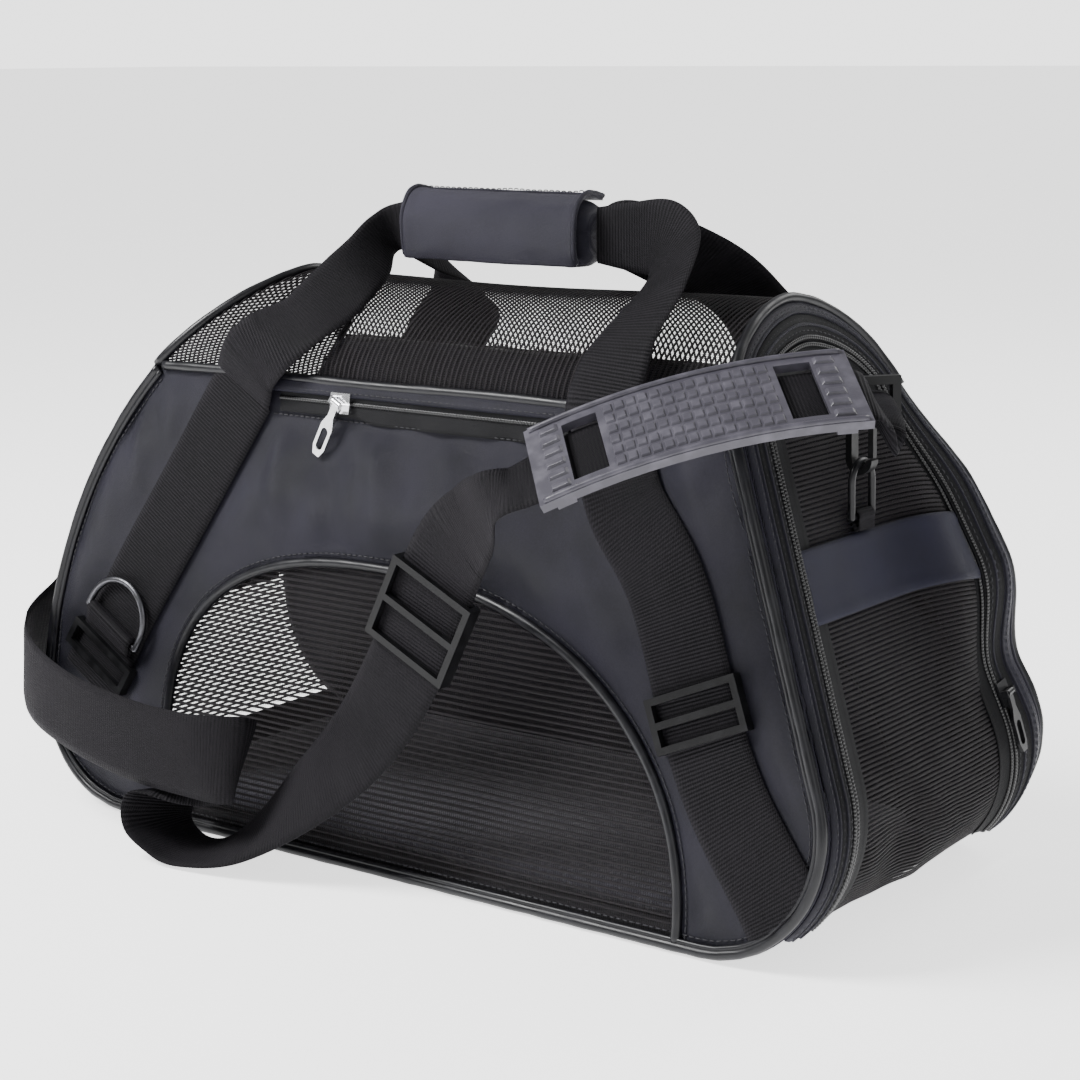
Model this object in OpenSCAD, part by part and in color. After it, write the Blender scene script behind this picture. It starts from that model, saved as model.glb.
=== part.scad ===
/* [Bag] */
// Depth of the bag at the floor
base_depth = 190; // [170:1:210]
// Depth of the bag at the seam under the roof
shoulder_depth = 128; // [120:1:134]
// Height of the seam between the side panels and the roof
shoulder_z = 210; // [206:1:214]
// Height of the roof ridge
ridge_z = 252; // [244:1:256]
// Thickness of the fabric and mesh walls
wall = 2; // [1.8:0.1:2.4]
// Length of the flat floor from the centre to the door corner
door_corner_x = 160; // [156:1:164]
// Radius of the corner under the door
door_corner_r = 52; // [50:1:54]
// Lean of the door end from the vertical
door_lean = 21; // [20:0.5:22]
// Length of the flat floor from the centre to the closed end's corner
closed_corner_x = 163; // [160:1:166]
// Radius of the corner under the closed end
closed_corner_r = 60; // [58:1:62]
// Radius of the bulge of the closed end
closed_bulge_r = 215; // [205:5:225]

/* [Windows] */
// Height of the arched window
window_h = 132; // [126:1:134]
// Half width of the window on the closed side of its crown
window_left = 120; // [116:1:122]
// Half width of the window on the door side of its crown
window_right = 168; // [160:1:170]
// Distance of the window's crown from the centre
window_crown_x = -20; // [-24:1:-16]

/* [Webbing] */
// Width of the webbing of the handles and the shoulder strap
strap_w = 38; // [36:1:38]
// Thickness of the webbing
strap_t = 2; // [1.6:0.1:2]

/* [Door] */
// Width of the fabric frame around the door
frame_w = 16; // [14:1:18]
// Height of the door's hinge seam
hinge_z = 14; // [13:1:15]
// Height of the lower edge of the reinforcing band
band_z = 130; // [126:1:132]
// Height of the reinforcing band
band_h = 28; // [26:1:28]

/* [Closed end] */
// Height of the lower edge of the reinforcing panel
closed_band_z = 75; // [60:1:110]

/* [Grip] */
// Length of the padded grip
grip_len = 101; // [96:1:104]
// Height of the padded grip
grip_h = 33; // [32:1:34]
// Depth of the padded grip
grip_d = 27; // [26:1:28]
// Height of the grip's centre line
grip_z = 274; // [272:1:276]

/* [Shoulder pad] */
// Length of the shoulder pad
pad_len = 126; // [122:1:130]
// Width of the shoulder pad
pad_w = 52; // [51:1:54]
// Thickness of the shoulder pad
pad_t = 3.5; // [3:0.1:4]
// Radius of the shoulder pad's arch
pad_arch_r = 280; // [270:5:300]

/* [Hidden] */
$fn = 48;

// Inward lean of the front and rear panels, per millimetre of height and as an angle
side_slope = (base_depth - shoulder_depth) / 2 / shoulder_z;
side_lean = atan(side_slope);

// Clearance between pieces that move past each other
gap = 0.3;
// Radius of the piping and height of the seam that it follows
bead_r = 2.2;
// Half height of the extrusions that are cut down to the bag's outline
reach = 300;

// Points of an arc about c in a plane
function arc(c, r, a0, a1, n = 12) =
    [for (i = [0:n]) c + r * [cos(a0 + (a1 - a0) * i / n), sin(a0 + (a1 - a0) * i / n)]];

function unit(v) = v / norm(v);

// Closed end: angle at which its bulge reaches a height, and its half length there
closed_c = closed_corner_x + closed_corner_r - closed_bulge_r;
closed_top_a = asin((shoulder_z - closed_corner_r) / closed_bulge_r);
function closed_a(z) = asin((z - closed_corner_r) / closed_bulge_r);
function closed_x(z, d = 0) = z > shoulder_z
    ? closed_c + (closed_bulge_r - d - (z - closed_corner_r) * sin(closed_top_a)) / cos(closed_top_a)
    : closed_c + sqrt(pow(closed_bulge_r - d, 2) - pow(z - closed_corner_r, 2));

// Door end: half length of its sloping face at a height
function door_x(z, d = 0) =
    door_corner_x + (door_corner_r - d - (z - door_corner_r) * sin(door_lean)) / cos(door_lean);

// Side outline of the bag, moved inwards by d
function door_side(d) = arc([door_corner_x, door_corner_r], door_corner_r - d, -90, door_lean);
function closed_side(d) = concat(
    arc([closed_corner_x, closed_corner_r], closed_corner_r - d, -90, 0, 10),
    arc([closed_c, closed_corner_r], closed_bulge_r - d, 2, closed_top_a, 14));
function side_outline(d, top) = concat(
    door_side(d),
    [[door_x(top, d), top]],
    [[-closed_x(top, d), top]],
    [for (i = [len(closed_side(d)) - 1:-1:0]) [-closed_side(d)[i][0], closed_side(d)[i][1]]]);

// Cross-section of the bag, moved inwards by d: two leaning walls and an arched roof
arch_power = 1.7;
function half_depth(z, d = 0) = base_depth / 2 - side_slope * z - d / cos(side_lean);
function roof_y(t, d) = (shoulder_depth / 2 - d) * pow(cos(t), 2 / arch_power);
function roof_z(t, d) = shoulder_z + (ridge_z - shoulder_z - d) * pow(sin(t), 2 / arch_power);
function section(d, z0 = 0) = concat(
    [[half_depth(z0, d), z0], [half_depth(shoulder_z, d), shoulder_z]],
    [for (t = [10:10:90]) [roof_y(t, d), roof_z(t, d)]],
    [for (t = [80:-10:10]) [-roof_y(t, d), roof_z(t, d)]],
    [[-half_depth(shoulder_z, d), shoulder_z], [-half_depth(z0, d), z0]]);

module along_y(y0, y1) {
    translate([0, y1, 0])
        rotate([90, 0, 0])
            linear_extrude(y1 - y0)
                children();
}

module along_x(x0, x1) {
    translate([x0, 0, 0])
        rotate([90, 0, 90])
            linear_extrude(x1 - x0)
                children();
}

// Strip of the side outline between two depths, cut to a height range
module end_band(d0, d1, z0, z1) {
    intersection() {
        difference() {
            polygon(side_outline(d0, z1));
            polygon(side_outline(d1, z1 + 1));
        }
        translate([-reach, z0])
            square([2 * reach, z1 - z0]);
    }
}

// Frames in which a piece is drawn flat: x along, y up the panel, z out of it
module on_front() {
    translate([0, -base_depth / 2, 0])
        rotate([90 - side_lean, 0, 0])
            children();
}

module on_rear() {
    mirror([0, 1, 0])
        on_front()
            children();
}

module on_door(z) {
    translate([door_x(z), 0, z])
        rotate([0, -door_lean, 0])
            rotate([90, 0, 90])
                children();
}

// Tube of radius r along a path, with the rings square to a plane whose normal is up
module tube(path, r, up, sides = 8) {
    n = len(path);
    rings = [for (i = [0:n - 1])
        let (
            t = unit(path[min(i + 1, n - 1)] - path[max(i - 1, 0)]),
            s = unit(cross(t, up)),
            u = cross(s, t))
        for (k = [0:sides - 1])
            path[i] + r * (cos(360 * k / sides) * s + sin(360 * k / sides) * u)];
    walls = [for (i = [0:n - 2])
        for (k = [0:sides - 1])
            let (k1 = (k + 1) % sides)
            [i * sides + k, i * sides + k1, (i + 1) * sides + k1, (i + 1) * sides + k]];
    first = [[for (k = [sides - 1:-1:0]) k]];
    last = [[for (k = [0:sides - 1]) (n - 1) * sides + k]];
    polyhedron(rings, concat(walls, first, last), convexity = 8);
}

// Webbing along a list of [centre, direction across, width] with a rectangular section.
// Both broad faces are cut along the same diagonal, so a twisted stretch keeps its thickness
module ribbon(stations, t = strap_t) {
    n = len(stations);
    rings = [for (i = [0:n - 1])
        let (
            along = unit(stations[min(i + 1, n - 1)][0] - stations[max(i - 1, 0)][0]),
            face = unit(cross(along, stations[i][1])),
            across = cross(face, along) * stations[i][2] / 2)
        for (k = [[-1, -1], [1, -1], [1, 1], [-1, 1]])
            stations[i][0] + k[0] * across + k[1] * face * t / 2];
    walls = [for (i = [0:n - 2])
        for (k = [0:3])
            let (a = i * 4 + k, b = i * 4 + (k + 1) % 4)
            for (f = k == 2 ? [[a, a + 4, b], [a + 4, b + 4, b]] : [[a, a + 4, b + 4], [a, b + 4, b]])
                f];
    first = [[0, 1, 2, 3]];
    last = [[for (k = [3:-1:0]) (n - 1) * 4 + k]];
    polyhedron(rings, concat(first, walls, last), convexity = 8);
}

// Flat strip of webbing along points in a plane, mitred where it turns
function strip(points, w) =
    let (
        n = len(points),
        sides = [for (i = [0:n - 1])
            let (
                a = unit(points[min(i + 1, n - 1)] - points[min(i, n - 2)]),
                b = unit(points[max(i, 1)] - points[max(i - 1, 0)]),
                m = unit(a + b))
            [-m[1], m[0]] / (m * a)])
    concat(
        [for (i = [0:n - 1]) points[i] + sides[i] * w / 2],
        [for (i = [n - 1:-1:0]) points[i] - sides[i] * w / 2]);

/* Shell */

module base_panel() {
    color([0.10, 0.10, 0.13])
        intersection() {
            along_y(-reach, reach)
                end_band(0, wall, 0, hinge_z);
            along_x(-reach, reach)
                polygon(section(wall));
        }
}

board_t = 3;
board_half_x = 150;
board_half_y = 90;

module base_board() {
    color([0.18, 0.16, 0.15])
        translate([-board_half_x, -board_half_y, wall])
            cube([2 * board_half_x, 2 * board_half_y, board_t]);
}

mat_t = 12;
mat_half_x = 166;
mat_half_y = 85;
mat_r = 16;

module fleece_mat() {
    corner_x = mat_half_x - mat_r;
    corner_y = mat_half_y - mat_r;
    color([0.35, 0.34, 0.40])
        translate([0, 0, wall + board_t])
            linear_extrude(mat_t)
                polygon(concat(
                    arc([corner_x, corner_y], mat_r, 0, 90, 6),
                    arc([-corner_x, corner_y], mat_r, 90, 180, 6),
                    arc([-corner_x, -corner_y], mat_r, 180, 270, 6),
                    arc([corner_x, -corner_y], mat_r, 270, 360, 6)));
}

// Arched window: quarter curves on both sides of the crown over a straight foot
window_foot_z = 3;
left_spring_z = 45;
left_power = 2.5;
right_power = 2.2;
function window_left_arc() = [for (t = [0:9:90])
    [window_crown_x - window_left * pow(cos(t), 2 / left_power),
        left_spring_z + (window_h - left_spring_z) * pow(sin(t), 2 / left_power)]];
function window_right_arc() = [for (t = [81:-9:0])
    [window_crown_x + window_right * pow(cos(t), 2 / right_power),
        window_foot_z + (window_h - window_foot_z) * pow(sin(t), 2 / right_power)]];
function window_arch() = concat(
    [[window_crown_x - window_left, window_foot_z]],
    window_left_arc(),
    window_right_arc());

module leaning_strip(d0, d1, z1) {
    along_x(-reach, reach)
        polygon([
            [-half_depth(0, d0), 0],
            [-half_depth(z1, d0), z1],
            [-half_depth(z1, d1), z1],
            [-half_depth(0, d1), 0]]);
}

module side_panel() {
    difference() {
        intersection() {
            along_y(-reach, 0)
                polygon(side_outline(0, shoulder_z));
            leaning_strip(0, wall, shoulder_z);
        }
        along_y(-reach, 0)
            polygon(window_arch());
    }
}

module side_window() {
    intersection() {
        along_y(-reach, 0)
            polygon(window_arch());
        leaning_strip(wall * 0.25, wall * 0.75, shoulder_z);
    }
}

module front_panel() {
    color([0.10, 0.10, 0.14])
        side_panel();
}

module rear_panel() {
    color([0.10, 0.10, 0.14])
        mirror([0, 1, 0])
            side_panel();
}

module front_window() {
    color([0.25, 0.23, 0.25, 0.6])
        side_window();
}

module rear_window() {
    color([0.25, 0.23, 0.25, 0.6])
        mirror([0, 1, 0])
            side_window();
}

module roof_mesh() {
    color([0.22, 0.20, 0.22, 0.7])
        intersection() {
            along_y(-reach, reach)
                polygon(side_outline(0, ridge_z + 1));
            along_x(-reach, reach)
                difference() {
                    polygon(section(0, shoulder_z));
                    polygon(section(wall, shoulder_z - 1));
                }
        }
}

/* Piping */

// A point of the side outline as a point of the leaning front panel
function on_panel(p, out) = [p[0], p[1] / cos(side_lean), out];

module window_piping() {
    on_front()
        tube([for (p = window_arch()) on_panel(p, 0.5)], bead_r, [0, 0, 1]);
}

module edge_piping() {
    inset = bead_r;
    path = concat(
        [[door_x(shoulder_z, inset), shoulder_z]],
        [for (i = [len(door_side(inset)) - 1:-1:0]) door_side(inset)[i]],
        [for (p = closed_side(inset)) [-p[0], p[1]]]);
    on_front()
        tube([for (p = path) on_panel(p, 1)], bead_r, [0, 0, 1]);
}

module front_window_piping() {
    color([0.05, 0.05, 0.06])
        window_piping();
}

module rear_window_piping() {
    color([0.05, 0.05, 0.06])
        mirror([0, 1, 0])
            window_piping();
}

module front_edge_piping() {
    color([0.05, 0.05, 0.06])
        edge_piping();
}

module rear_edge_piping() {
    color([0.05, 0.05, 0.06])
        mirror([0, 1, 0])
            edge_piping();
}

// Straight beads over the seams between the panels and the roof
module seam_piping() {
    x0 = -closed_x(shoulder_z, 5);
    x1 = door_x(shoulder_z, 5);
    color([0.05, 0.05, 0.06])
        for (s = [-1, 1])
            translate([x0, s * (half_depth(shoulder_z) + 0.5), shoulder_z])
                rotate([0, 90, 0])
                    cylinder(r = bead_r, h = x1 - x0, $fn = 24);
}

// The roof's arch at one end, from seam to seam, as [depth, height]
arch_foot = shoulder_z + 4;
arch_points = concat(
    [[half_depth(shoulder_z) - 1, arch_foot]],
    [for (t = [10:10:90]) [roof_y(t, 0), roof_z(t, 0)]],
    [for (t = [80:-10:10]) [-roof_y(t, 0), roof_z(t, 0)]],
    [[1 - half_depth(shoulder_z), arch_foot]]);

module door_arch_piping() {
    path = [for (p = arch_points) [door_x(p[1]), p[0], p[1]]];
    color([0.05, 0.05, 0.06])
        tube(path, bead_r, [cos(door_lean), 0, sin(door_lean)]);
}

module closed_arch_piping() {
    path = [for (p = arch_points) [-closed_x(p[1]), p[0], p[1]]];
    color([0.05, 0.05, 0.06])
        tube(path, bead_r, [-cos(closed_top_a), 0, sin(closed_top_a)]);
}

/* Door end */

// Skin of the door end between two depths, inside the section moved in by s0
module door_skin(d0, d1, s0, z0, z1 = ridge_z) {
    intersection() {
        along_y(-reach, reach)
            end_band(d0, d1, z0, z1);
        along_x(0, reach)
            polygon(section(s0));
    }
}

zip_w = 4.5;
tape_t = 0.8;
band_t = 1.2;

module door_frame() {
    color([0.08, 0.08, 0.10])
        difference() {
            door_skin(0, wall, wall, hinge_z);
            along_x(0, reach)
                polygon(section(wall + frame_w, -1));
        }
}

// Flat tape with a raised coil along its inner edge
module frame_zip() {
    inner = wall + frame_w;
    color([0.04, 0.04, 0.05])
        difference() {
            union() {
                door_skin(-tape_t, 0, inner - zip_w, hinge_z + 2);
                door_skin(-2 * tape_t, -tape_t / 2, inner - zip_w / 3, hinge_z + 2);
            }
            along_x(0, reach)
                polygon(section(inner, -1));
        }
}

module door_mesh() {
    color([0.22, 0.20, 0.22, 0.7])
        door_skin(0, wall, wall + frame_w + gap, hinge_z + gap);
}

module door_zip() {
    outer = wall + frame_w + gap;
    color([0.04, 0.04, 0.05])
        difference() {
            door_skin(-tape_t, 0, outer, hinge_z + 2);
            along_x(0, reach)
                polygon(section(outer + zip_w, -1));
        }
}

module door_band() {
    color([0.10, 0.10, 0.15])
        door_skin(-band_t, 0, wall + frame_w + zip_w + 1, band_z, band_z + band_h);
}

/* Closed end */

module closed_mesh() {
    color([0.22, 0.20, 0.22, 0.7])
        intersection() {
            along_y(-reach, reach)
                end_band(0, wall, hinge_z, ridge_z);
            along_x(-reach, 0)
                polygon(section(wall));
        }
}

module closed_band() {
    color([0.10, 0.10, 0.15])
        intersection() {
            along_y(-reach, reach)
                end_band(-band_t, 0, closed_band_z, band_z + band_h);
            along_x(-reach, 0)
                polygon(section(wall + 2));
        }
}

/* D-rings and their tabs */

ring_wire_r = 1.6;
small_ring_w = 20;
small_ring_h = 24;
front_ring_w = 40;
front_ring_h = 24;

// D-ring with its bar along x through the origin and its bow up the y axis
module d_ring(w, h) {
    half = w / 2 - ring_wire_r;
    bow = min(half, h - ring_wire_r);
    leg = h - ring_wire_r - bow;
    rotate([0, 90, 0])
        cylinder(r = ring_wire_r, h = 2 * half, center = true);
    for (s = [-1, 1])
        translate([s * half, 0, 0])
            sphere(r = ring_wire_r);
    if (leg > 0)
        for (s = [-1, 1])
            translate([s * half, 0, 0])
                rotate([-90, 0, 0])
                    cylinder(r = ring_wire_r, h = leg);
    translate([0, leg, 0])
        rotate_extrude(angle = 180)
            translate([bow, 0])
                circle(r = ring_wire_r);
}

// Folded webbing tab: a sleeve around the bar and a flat tail that is sewn down below it
tab_bore_r = ring_wire_r + 0.4;
tab_r = tab_bore_r + 1;
tab_w = 13;
tab_tail = 5;

module ring_tab(w, tail, base = 0) {
    difference() {
        union() {
            translate([0, 0, base + tab_r])
                rotate([0, 90, 0])
                    cylinder(r = tab_r, h = w, center = true);
            translate([-w / 2, -tail, base])
                cube([w, tail, tab_r]);
        }
        translate([0, 0, base + tab_r])
            rotate([0, 90, 0])
                cylinder(r = tab_bore_r, h = w + 1, center = true);
    }
}

// Door end: the ring stands up, tilted off the mesh
door_tab_z = band_z + band_h + 6;
door_ring_tilt = 20;

module door_ring_frame() {
    on_door(door_tab_z)
        translate([0, 0, tab_r])
            rotate([door_ring_tilt, 0, 0])
                children();
}

module door_ring_tab() {
    color([0.07, 0.07, 0.08])
        on_door(door_tab_z)
            ring_tab(tab_w, tab_tail);
}

module door_ring() {
    color([0.75, 0.75, 0.78])
        door_ring_frame()
            d_ring(small_ring_w, small_ring_h);
}

// Closed end: the ring hangs down over the band, which bulges below it
closed_tab_z = band_z + band_h - 4;
closed_ring_hang = 38;
closed_hook_hang = 18;
closed_tab_base = band_t + 0.1;

module on_closed() {
    mirror([1, 0, 0])
        translate([closed_x(closed_tab_z), 0, closed_tab_z])
            rotate([0, -closed_a(closed_tab_z), 0])
                rotate([90, 0, 90])
                    children();
}

// x to the front, y down the hanging ring, z out of the bag
module closed_ring_frame() {
    lift = closed_tab_base + tab_r;
    a = closed_a(closed_tab_z);
    mirror([1, 0, 0])
        translate([closed_x(closed_tab_z) + lift * cos(a), 0, closed_tab_z + lift * sin(a)])
            rotate([0, -closed_ring_hang, 0])
                rotate([-90, 0, -90])
                    children();
}

module closed_ring_tab() {
    color([0.07, 0.07, 0.08])
        on_closed()
            mirror([0, 1, 0])
                ring_tab(tab_w, tab_tail - 1, closed_tab_base);
}

module closed_ring() {
    color([0.75, 0.75, 0.78])
        closed_ring_frame()
            d_ring(small_ring_w, small_ring_h);
}

/* Snap hooks: the ring's wire crosses the hook at the origin, the eye is up the y axis */

hook_in_r = 3.2;
hook_out_r = 6;
hook_t = 5.6;
hook_c = hook_in_r - ring_wire_r - 3 * gap;
hook_top = 19;
hook_head = 4.5;
gate_t = 2.4;
gate_pivot_y = hook_top - hook_head + 1;
gate_pivot_z = hook_out_r - gate_t / 2;
gate_pin_r = 0.8;
post_r = 2;
eye_bar = 3.6;
eye_gap = 0.4;
eye_window = 8;
eye_depth = 4;
collar_r = 4.2;
// The door hook's eye is swivelled towards the webbing that comes to it
door_eye_turn = -40;
// Inner width of the door hook's eye, for webbing that is gathered
door_eye_w = 25;

module hook_plate(t) {
    rotate([90, 0, 90])
        translate([0, 0, -t / 2])
            linear_extrude(t)
                children();
}

module hook_body() {
    difference() {
        hook_plate(hook_t)
            difference() {
                union() {
                    translate([hook_c, 0])
                        circle(r = hook_out_r);
                    translate([hook_c, -hook_out_r])
                        square([hook_top - hook_c, hook_out_r - hook_in_r]);
                    translate([hook_top - hook_head, -hook_out_r])
                        square([hook_head, 2 * hook_out_r - 1]);
                }
                translate([hook_c, 0])
                    circle(r = hook_in_r);
                translate([hook_c, -hook_in_r])
                    square([hook_top - hook_head - hook_c, 2 * hook_in_r]);
                translate([hook_c, 0])
                    square([hook_top - hook_head - hook_c, hook_out_r + 1]);
            }
        translate([0, gate_pivot_y, gate_pivot_z])
            cube([hook_t - 2, 2 * gate_t + 1, 2 * gate_t + 1], center = true);
    }
    translate([0, gate_pivot_y, gate_pivot_z])
        rotate([0, 90, 0])
            cylinder(r = gate_pin_r, h = hook_t - 1, center = true);
    translate([0, hook_top, 0])
        rotate([-90, 0, 0])
            cylinder(r = post_r, h = eye_gap + eye_bar + gap + 0.2);
    translate([0, hook_top + eye_gap + eye_bar + gap, 0])
        rotate([-90, 0, 0])
            cylinder(r = post_r + 1.4, h = 1.6);
}

module hook_gate() {
    foot = hook_c + 3 * gap;
    difference() {
        hook_plate(hook_t - 2 - 2 * gap) {
            translate([gate_pivot_y, gate_pivot_z])
                circle(r = gate_t / 2 + 0.4);
            translate([foot, gate_pivot_z - gate_t / 2])
                square([gate_pivot_y - foot, gate_t]);
        }
        translate([0, gate_pivot_y, gate_pivot_z])
            rotate([0, 90, 0])
                cylinder(r = gate_pin_r + 0.1, h = hook_t, center = true);
    }
}

module hook_eye(turn, inner) {
    outer = inner + 2 * eye_bar;
    height = 2 * eye_bar + eye_window;
    translate([0, hook_top + eye_gap, 0])
        rotate([0, turn, 0])
            difference() {
                union() {
                    translate([-outer / 2, 0, -eye_depth / 2])
                        cube([outer, height, eye_depth]);
                    rotate([-90, 0, 0])
                        cylinder(r = collar_r, h = eye_bar);
                }
                translate([-inner / 2, eye_bar, -eye_depth])
                    cube([inner, eye_window, 2 * eye_depth]);
                rotate([-90, 0, 0])
                    translate([0, 0, -1])
                        cylinder(r = post_r + gap, h = eye_bar + 2);
            }
}

module door_hook_frame() {
    door_ring_frame()
        translate([0, small_ring_h - ring_wire_r, 0])
            children();
}

module closed_hook_frame() {
    closed_ring_frame()
        translate([0, small_ring_h - ring_wire_r, 0])
            rotate([closed_hook_hang - closed_ring_hang, 0, 0])
                children();
}

module door_hook() {
    color([0.06, 0.06, 0.07])
        door_hook_frame()
            hook_body();
}

module door_hook_gate() {
    color([0.12, 0.12, 0.13])
        door_hook_frame()
            hook_gate();
}

module door_hook_eye() {
    color([0.06, 0.06, 0.07])
        door_hook_frame()
            hook_eye(door_eye_turn, door_eye_w);
}

module closed_hook() {
    color([0.06, 0.06, 0.07])
        closed_hook_frame()
            hook_body();
}

module closed_hook_gate() {
    color([0.12, 0.12, 0.13])
        closed_hook_frame()
            hook_gate();
}

module closed_hook_eye() {
    color([0.06, 0.06, 0.07])
        closed_hook_frame()
            hook_eye(0, strap_w + 1.5);
}

/* Pocket */

pocket_x0 = -83;
pocket_x1 = 76;
pocket_v = 203;
coil_w = 3;
coil_h = 1.6;
lining_t = 1.2;

module pocket_zip() {
    color([0.04, 0.04, 0.05])
        on_front() {
            translate([pocket_x0, pocket_v - 6, 0])
                cube([pocket_x1 - pocket_x0, 12, tape_t]);
            translate([pocket_x0, pocket_v - coil_w / 2, 0])
                cube([pocket_x1 - pocket_x0, coil_w, coil_h]);
        }
}

// Pocket bag: a flat lining behind the panel, above the window
module pocket_lining() {
    color([0.09, 0.09, 0.11])
        difference() {
            intersection() {
                along_y(-reach, 0)
                    translate([pocket_x0 - 10, window_h - 60])
                        square([pocket_x1 - pocket_x0 + 20, shoulder_z - window_h + 54]);
                leaning_strip(wall, wall + lining_t, shoulder_z);
            }
            along_y(-reach, 0)
                scale([1.04, 1.04])
                    polygon(window_arch());
        }
}

/* Zip sliders: the coil runs along x at the origin, the pull hangs down the y axis */

slider_len = 11;
slider_base = tape_t + gap;
slider_top = 3.6;
lug_in = 2.8;
lug_t = 1.2;
pin_z = slider_top + 1.8;
pull_pin_r = 0.7;
pull_len = 27;
pull_rest = 7;

module slider_body(low, high, groove_low, groove_high, turn) {
    difference() {
        translate([-slider_len / 2, low, slider_base])
            cube([slider_len, high - low, slider_top - slider_base]);
        translate([-slider_len, groove_low, 0])
            cube([2 * slider_len, groove_high - groove_low, coil_h + gap]);
    }
    translate([0, (low + high) / 2, 0])
        rotate([0, 0, turn]) {
            for (s = [-1, 1])
                translate([s * (lug_in + lug_t / 2), 0, (slider_top + pin_z + 1.2) / 2 - 0.5])
                    cube([lug_t, 3.2, pin_z + 2.2 - slider_top], center = true);
            translate([0, 0, pin_z])
                rotate([0, 90, 0])
                    cylinder(r = pull_pin_r, h = 2 * lug_in + lug_t, center = true);
        }
}

module zip_pull() {
    barrel_r = 1.6;
    plate_t = 1.4;
    difference() {
        union() {
            rotate([0, 90, 0])
                cylinder(r = barrel_r, h = 2 * (lug_in - gap), center = true);
            translate([0, 0, -plate_t / 2])
                linear_extrude(plate_t)
                    polygon([[-1.8, 0], [1.8, 0], [1.8, -7], [3.6, -12], [3.6, -pull_len + 4],
                        [2, -pull_len], [-2, -pull_len], [-3.6, -pull_len + 4], [-3.6, -12], [-1.8, -7]]);
        }
        rotate([0, 90, 0])
            cylinder(r = pull_pin_r + 0.1, h = 10, center = true);
        translate([0, -pull_len + 5, -plate_t])
            cylinder(r = 2, h = 2 * plate_t);
        translate([-2, -pull_len + 5, -plate_t])
            cube([4, 7, 2 * plate_t]);
        translate([0, -pull_len + 12, -plate_t])
            cylinder(r = 2, h = 2 * plate_t);
    }
}

pocket_slider_x = -46;
pocket_pull_turn = -28;

module on_pocket_slider() {
    on_front()
        translate([pocket_slider_x, pocket_v, 0])
            children();
}

module pocket_slider() {
    color([0.80, 0.80, 0.82])
        on_pocket_slider()
            slider_body(-4.5, 4.5, -coil_w / 2 - gap, coil_w / 2 + gap, pocket_pull_turn);
}

module pocket_pull() {
    color([0.80, 0.80, 0.82])
        on_pocket_slider()
            translate([0, 0, pin_z])
                rotate([0, 0, pocket_pull_turn])
                    rotate([pull_rest, 0, 0])
                        zip_pull();
}

// The door's slider rides on the frame's half of the coil, at the rear foot of the door
door_slider_z = 78;
door_coil_w = zip_w / 3;
door_slider_y = half_depth(door_slider_z, wall + frame_w - door_coil_w / 2);
door_track_turn = atan(side_slope * cos(door_lean));

// x down the track, y towards the rear, z out of the bag
module on_door_slider() {
    on_door(door_slider_z)
        translate([door_slider_y, 0, 0])
            rotate([0, 0, door_track_turn - 90])
                children();
}

module door_slider() {
    color([0.06, 0.06, 0.07])
        on_door_slider()
            slider_body(-door_coil_w / 2 - 0.1, 8.2, -10, door_coil_w / 2 + gap, 90);
}

module door_pull() {
    color([0.06, 0.06, 0.07])
        on_door_slider()
            translate([0, (8.2 - door_coil_w / 2 - 0.1) / 2, pin_z])
                rotate([0, 0, 90])
                    rotate([pull_rest, 0, 0])
                        zip_pull();
}

/* Handle webbing sewn on the panels */

// Centre lines on the panel, from the seam down to the bottom corners
left_strap = [[-105, 206], [-133, 159], [-164, 108], [-192, 58]];
right_strap = [[97, 206], [106, 176], [131, 142], [160, 74], [192, 30]];

module sewn_straps() {
    on_front()
        for (points = [left_strap, right_strap])
            linear_extrude(strap_t)
                polygon(strip(points, strap_w));
}

module front_sewn_straps() {
    color([0.08, 0.08, 0.09])
        sewn_straps();
}

module rear_sewn_straps() {
    color([0.08, 0.08, 0.09])
        mirror([0, 1, 0])
            sewn_straps();
}

/* Glides: rectangular plastic buckles over the sewn webbing */

glide_bar = 3;
glide_t = strap_t + gap + 2.6;
glide_w = strap_w + 6;

module glide(h, windows) {
    cell_h = (h - glide_bar * (windows + 1)) / windows;
    difference() {
        translate([-glide_w / 2, -h / 2, 0])
            cube([glide_w, h, glide_t]);
        translate([-strap_w / 2 - 0.4, -h, -1])
            cube([strap_w + 0.8, 2 * h, strap_t + gap + 1]);
        for (i = [0:windows - 1])
            translate([-strap_w / 2, -h / 2 + glide_bar + i * (cell_h + glide_bar), 0])
                cube([strap_w, cell_h, 2 * glide_t]);
    }
}

left_glide_at = [-184, 72, gap];
right_glide_at = [150.6, 96, gap];
left_turn = atan2(28, 50);
right_turn = -atan2(29, 68);

module front_left_glide() {
    color([0.10, 0.10, 0.11])
        on_front()
            translate(left_glide_at)
                rotate([0, 0, -left_turn])
                    glide(14, 1);
}

module front_right_glide() {
    color([0.10, 0.10, 0.11])
        on_front()
            translate(right_glide_at)
                rotate([0, 0, -right_turn])
                    glide(23, 2);
}

module rear_left_glide() {
    color([0.10, 0.10, 0.11])
        on_rear()
            translate(left_glide_at)
                rotate([0, 0, -left_turn])
                    glide(14, 1);
}

module rear_right_glide() {
    color([0.10, 0.10, 0.11])
        on_rear()
            translate(right_glide_at)
                rotate([0, 0, -right_turn])
                    glide(23, 2);
}

/* Front D-ring on the left handle webbing */

front_ring_at = [-175.7, 87.5, 0];

module on_front_ring() {
    on_front()
        translate(front_ring_at)
            rotate([0, 0, -left_turn])
                children();
}

module front_ring_tab() {
    color([0.07, 0.07, 0.08])
        on_front_ring()
            ring_tab(front_ring_w - 7, tab_tail, strap_t);
}

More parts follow.
